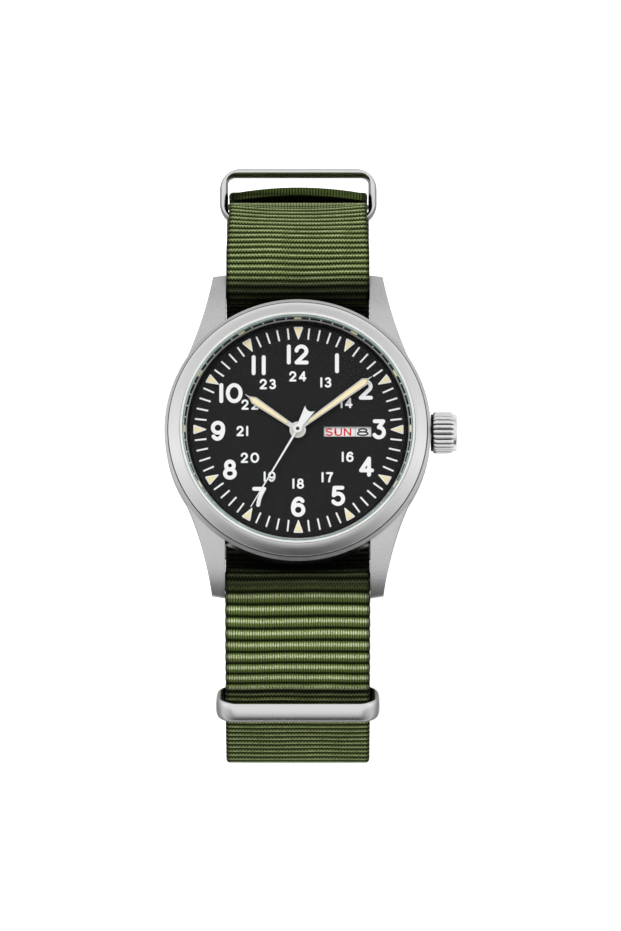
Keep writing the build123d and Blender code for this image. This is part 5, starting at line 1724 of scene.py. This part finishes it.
@dataclass
class BladeFill:
    """Dark line and luminous inlay on top of one hand's blade."""

    shop: Workshop
    name: str
    body: str
    length: float
    shoulder: float
    width: float
    angle: float
    top_z: float
    root: float = 0.55
    start: float = 1.6

    def outline(self, rim: float, tip: float) -> list[Point]:
        """Gives the inlay's outline.

        Args:
            rim: Width of the border left free, in millimetres.
            tip: How far its point stays from the shoulder's end.

        Returns:
            The corner points, turned to the hand's angle.
        """
        slope = (self.width - self.root) / 2 / self.shoulder
        low = self.root / 2 + slope * self.start - rim
        high = self.width / 2 - rim
        line = [
            (self.start + rim, -low), (self.shoulder - rim * 0.4, -high), (self.length - tip, 0.0),
            (self.shoulder - rim * 0.4, high), (self.start + rim, low),
        ]
        cos, sin = math.cos(math.radians(self.angle)), math.sin(math.radians(self.angle))
        return [(x * cos - y * sin, x * sin + y * cos) for x, y in line]

    def build(self) -> None:
        """Makes both layers."""
        dark = plate_mesh(self.outline(0.11, 0.6), self.top_z, self.top_z + 0.012)
        self.shop.piece(self.name + "_line", dark, "dark_line", self.body, "hand_metal")
        cream = plate_mesh(self.outline(0.15, 0.7), self.top_z + 0.012, self.top_z + 0.035)
        self.shop.piece(self.name + "_inlay", cream, "cream_paint", self.body, "hand_metal")


@dataclass
class Crown:
    """Fluted crown with a plain end cap."""

    shop: Workshop
    inner_x: float = 18.9
    # Where the near-black ring of painted shadow sits against the case.
    shadow_ring_x: float = 18.68
    centre_z: float = 25.35
    flutes: int = 24
    depth: float = 0.5
    rows: list[tuple[float, float, float]] = field(default_factory=lambda: [
        (0.0, 2.0, 0.0), (0.0, 2.55, 0.3), (0.08, 2.75, 0.8), (0.25, 2.90, 1.0), (0.6, 2.95, 1.0),
        (1.5, 2.95, 1.0), (2.3, 2.95, 1.0), (2.6, 2.90, 1.0), (2.78, 2.78, 0.7), (2.88, 2.64, 0.2),
        (2.90, 2.62, 0.0), (3.22, 2.62, 0.0), (3.32, 2.59, 0.0), (3.39, 2.5, 0.0), (3.42, 2.36, 0.0),
        (3.42, 1.2, 0.0), (3.42, 0.0, 0.0),
    ])

    def build(self) -> None:
        """Turns the blank, presses the flutes and puts it on the crown's body, with a near-black ring at its
        inner end as painted shadow between crown and case.
        """
        steps = self.flutes * 18
        vertices, faces, weights = [], [], []
        for x, radius, weight in [(2.2, 0.0, 0.0), (2.2, 2.0, 0.0)] + self.rows:
            for step in range(steps):
                turn = 2 * math.pi * step / steps
                y, z = radius * math.cos(turn), self.centre_z + radius * math.sin(turn)
                vertices.append(((self.inner_x + x) * MM, y * MM, z * MM))
                weights.append(weight)
        for row in range(len(self.rows) + 1):
            here, ahead = row * steps, (row + 1) * steps
            for step in range(steps):
                after = (step + 1) % steps
                faces.append((here + step, here + after, ahead + after, ahead + step))
        host = bpy.data.meshes.new("crown_blank")
        host.from_pydata(vertices, [], faces)
        kept = host.attributes.new("flute", "FLOAT", "POINT")
        kept.data.foreach_set("value", weights)
        shape = NodeShape("crown_flutes")
        writer = shape.writer
        _, y, z = writer.split(writer.position())
        turn = writer.math("ARCTAN2", writer.minus(z, shape.size("Centre height", self.centre_z * MM)), y)
        beat = writer.math("SINE", writer.times(turn, shape.size("Half flutes", self.flutes / 2)))
        press = writer.minus(1.0, writer.math("POWER", writer.size_of(beat), 0.5))
        press = writer.times(press, shape.read("flute"), shape.size("Depth", -self.depth * MM))
        out, rise = (writer.times(writer.math(wave, turn), press) for wave in ("COSINE", "SINE"))
        push = writer.join(y=out, z=rise)
        cut = writer.call("GeometryNodeSetPosition", {"Geometry": shape.entry.outputs[0], "Offset": push})
        mesh = shape.bake(cut, self.shop.finish("crown_steel"), host)
        tidy_mesh(mesh, 50.0)
        self.shop.piece("fluted_crown", mesh, "crown_steel", "crown_group", "satin_steel", ["crown"])
        # Painted shadow: a near-black ring between the case and the crown's inner end.
        section = ring_section(inner=1.4, outer=2.6, low=0.0, high=0.2)
        ring_shape = turned_mesh(section, [0, 0.06, 0.06, 0], 64)
        place = Matrix.Translation((self.shadow_ring_x * MM, 0, self.centre_z * MM))
        ring_shape.transform(place @ Matrix.Rotation(math.pi / 2, 4, "Y"))
        self.shop.piece("crown_shadow_ring", ring_shape, "crown_shadow_black", "crown_group", "black_rubber")


@dataclass
class Studio:
    """Pale floor, soft world light and the camera of the photograph."""

    lens: float = 201.8
    target: tuple[float, float, float] = (1.79, -4.79, 26.02)
    place: tuple[float, float, float] = (1.79, -144.2, 742.9)
    floor_z: float = -24.52
    floor_size: float = 3.0
    floor_glow: float = 0.75
    mirrored_glow: float = 0.1
    zenith: float = 0.88
    sun_from: tuple[float, float, float] = (-0.22, 0.42, 0.88)
    sun_strength: float = 1.0
    sun_spread: float = 14.0
    horizon: list[Point] = field(default_factory=lambda: [
        (0.0, 0.10), (0.067, 0.26), (0.25, 0.72), (0.5, 1.12), (0.75, 0.88), (0.93, 0.76), (1.0, 0.70)])

    def camera(self) -> None:
        """Sets the camera."""
        data = bpy.data.cameras.new("camera")
        data.lens = self.lens
        data.sensor_width = 36.0
        data.clip_start, data.clip_end = 0.01, 100.0
        made = placed("camera", data)
        made.location = Vector(self.place) * MM
        heading = Vector(self.target) - Vector(self.place)
        made.rotation_euler = heading.to_track_quat("-Z", "Y").to_euler()
        bpy.context.scene.camera = made

    def world(self) -> None:
        """Lights the watch from above and from both sides, with a dark front near the horizon."""
        world = bpy.data.worlds.new("studio")
        bpy.context.scene.world = world
        world.use_nodes = True
        writer = NodeWriter(world.node_tree)
        back = world.node_tree.nodes["Background"]
        x, y, z = writer.split(writer.node("ShaderNodeTexCoord").outputs["Generated"])
        flat = writer.math("SQRT", writer.plus(writer.times(x, x), writer.times(y, y)))
        heading = writer.over(y, writer.math("MAXIMUM", flat, 0.001))
        ramp = writer.node("ShaderNodeValToRGB")
        writer.feed(ramp.inputs[0], writer.plus(writer.times(heading, 0.5), 0.5))
        stops = ramp.color_ramp.elements
        while len(stops) < len(self.horizon):
            stops.new(0.5)
        for stop, (position, level) in zip(stops, self.horizon):
            stop.position = position
            stop.color = (level, level, level, 1.0)
        level = writer.mix(writer.smooth(z, 0.46, 0.74), ramp.outputs["Color"], self.zenith)
        seen = writer.node("ShaderNodeLightPath").outputs["Is Camera Ray"]
        writer.feed(back.inputs["Strength"], writer.mix(seen, level, 1.0))
        back.inputs["Color"].default_value = (1.0, 1.0, 1.0, 1.0)

    def sun(self) -> None:
        """Hangs the soft key lamp above the watch, a little to the left."""
        data = bpy.data.lights.new("key", "SUN")
        data.energy = self.sun_strength
        data.angle = math.radians(self.sun_spread)
        made = placed("key", data)
        made.rotation_euler = Vector(self.sun_from).to_track_quat("Z", "Y").to_euler()
        made.visible_glossy = False

    def floor(self) -> None:
        """Lays the white floor."""
        material, writer, shader = surface_material("studio_floor")
        speck = writer.noise(writer.on_piece(), 40.0)
        writer.feed(shader.inputs["Base Color"], writer.tint(speck, (0.80, 0.80, 0.80), (0.82, 0.82, 0.82)))
        shader.inputs["Roughness"].default_value = 1.0
        shader.inputs["Specular IOR Level"].default_value = 0.0
        path = writer.node("ShaderNodeLightPath")
        seen = writer.math("MAXIMUM", path.outputs["Is Camera Ray"], path.outputs["Is Transmission Ray"])
        mirrored = writer.times(path.outputs["Is Glossy Ray"], self.mirrored_glow)
        glow = writer.math("MAXIMUM", writer.times(seen, self.floor_glow), mirrored)
        shader.inputs["Emission Color"].default_value = (1.0, 1.0, 1.0, 1.0)
        writer.feed(shader.inputs["Emission Strength"], glow)
        mesh = bpy.data.meshes.new("floor")
        size = self.floor_size
        corners = [(-size, -size), (size, -size), (size, size), (-size, size)]
        mesh.from_pydata([(x, y, self.floor_z * MM) for x, y in corners], [], [(0, 1, 2, 3)])
        mesh.materials.append(material)
        placed("floor", mesh)

    def build(self) -> None:
        """Sets up camera, light and floor."""
        bpy.context.scene.view_settings.view_transform = "Standard"
        self.camera()
        self.world()
        self.sun()
        self.floor()


CAD_FINISHES: dict[str, str] = {
    "satin_steel": "case_middle case_back crown_tube",
    "black_rubber": "back_gasket crown_gasket",
    "black_ring": "chapter_ring",
    "black_dial": "dial",
    "hand_metal": "hour_hand minute_hand",
    "white_hand": "seconds_hand",
    "white_plastic": "movement_ring",
    "white_disc": "day_disc date_ring",
    "green_board": "circuit_board",
    "copper_winding": "coil",
    "stator_iron": "stator rotor",
    "battery_steel": "battery quartz_can",
    "train_brass": "main_plate train_bridge fifth_wheel fourth_wheel third_wheel center_wheel minute_wheel "
                   "hour_wheel",
    "train_steel": "stem clutch_wheel setting_lever battery_clamp cannon_pinion spring_bar_12 spring_bar_6 "
                   "bar_spring_12 bar_spring_6 bar_tip_12_right bar_tip_12_left bar_tip_6_right "
                   "bar_tip_6_left",
    "keeper_steel": "buckle_frame buckle_bar buckle_tang",
}


def long_band(shop: Workshop) -> Webbing:
    """Gives the long band: buckle eye, over both bars, and back through the buckle.

    Args:
        shop: Workshop that finishes it.

    Returns:
        The band.
    """
    corners = [
        (14.5, -19.6), (4.72, -19.6), (4.72, -22.16), (7.6, -22.16), (10.0, -21.05), (38.475, -21.05),
        (38.475, 1.4), (33.7, 20.5), (27.9, 25.25), (19.8, 25.25), (19.8, 21.05), (-19.8, 21.05),
        (-19.8, 25.25), (-27.85, 25.25), (-34.29, 19.32), (-39.24, 16.69), (-44.0, 10.0),
        (-37.5, -21.05), (-1.0, -21.05), (4.0, -23.61), (9.0, -23.61), (13.5, -22.5), (40.25, -22.5),
        (40.25, 5.2),
    ]
    radii = [
        1.274, 1.274, 2.6, 2.6, 16, 12, 3, 17.8, 1.393, 2.7, 2.7, 1.393, 16.8, 3, 3, 3, 12, 2.6, 2.6,
        2.6, 2.6, 17.45,
    ]
    holes = [
        Hole((2.7, -22.5), 4.2, 1.95, 3.6), Hole((17.5, -22.5), 3.15, 1.95, 1.3),
        Hole((5.2, -20.8), 4.6, 2.4, 3.9),
    ]
    holes += [Hole((y, -21.05), 3.15, 1.95, 1.6) for y in (-6.9, -15.2, -23.5)]
    bows = [Bow((40.25, 5.2), 5.0, 0.91, -1.24, 0.033), Bow((33.7, 20.5), 9.0, -0.55, 0.0, 0.033)]
    at_bars = [Shade((19.8, 25.25), 3.2, 0.88), Shade((-19.8, 25.25), 5.2, 0.86)]
    at_keeper = [Shade((-35.4, 18.7), 0.8, 0.85), Shade((-36.5, 18.1), 2.4, 0.4)]
    at_tail = [Shade((40.25, 5.2), 5.0, 0.5)]
    under_case = [Shade((18.2, 21.05), 4.5, 0.95), Shade((-18.2, 21.05), 4.5, 0.95)]
    behind_tail = [Shade((34.35, 17.9), 2.4, 0.8)]
    return Webbing(
        shop, "webbing_long", "long_band", corners, radii, (-21.0, 25.25), (-34.8, 19.0),
        holes=holes, bows=bows, shades=at_bars + at_keeper + at_tail + under_case + behind_tail,
    )


def short_band(shop: Workshop) -> Webbing:
    """Gives the short band, from the buckle's fold to the keeper on the 6 o'clock side.

    Args:
        shop: Workshop that finishes it.

    Returns:
        The band.
    """
    corners = [
        (15.0, -19.6), (35.275, -19.6), (35.275, 5.0), (32.0, 19.6), (-25.19, 19.6), (-37.80, 12.89),
        (-36.54, 10.52), (-28.93, 14.56),
    ]
    return Webbing(shop, "webbing_short", "short_band", corners, [13, 15, 3.5, 8, 1.338, 1.338])


def case_keeper(shop: Workshop) -> RingKeeper:
    """Gives the keeper at the end of the short band, tilted like the band.

    Args:
        shop: Workshop that finishes it.

    Returns:
        The keeper.
    """
    slope = math.radians(28)
    loop_y, loop_z, reach = -35.3, 12.7, 3.55
    return RingKeeper(
        shop, "ring_keeper_case", "case_keeper", "case_keeper_group",
        centre=(0, loop_y - reach * math.sin(slope), loop_z + reach * math.cos(slope)),
        axis=(0, math.cos(slope), math.sin(slope)),
        softness=0.72,
    )


def main() -> None:
    """Builds every sub-assembly in order and reports the pieces."""
    logging.basicConfig(level=logging.INFO, format="%(message)s")
    shop = Workshop()
    Studio().build()
    for finish, nodes in CAD_FINISHES.items():
        for node in nodes.split():
            shop.dress(node, finish)
    for assembly in (
        Head(shop),
        DialPrint(shop),
        BladeFill(shop, "hour_hand", "hour_group", 8.9, 7.4, 1.06, 145.5, 27.6),
        BladeFill(shop, "minute_hand", "minute_group", 12.8, 11.55, 1.1, 36.0, 28.0),
        Crown(shop),
        long_band(shop),
        short_band(shop),
        RingKeeper(shop, "ring_keeper_tail", "tail_keeper", "tail_keeper_group", (0, 40.3, 0), (0, 0, 1)),
        case_keeper(shop),
    ):
        assembly.build()


if __name__ == "__main__":
    main()
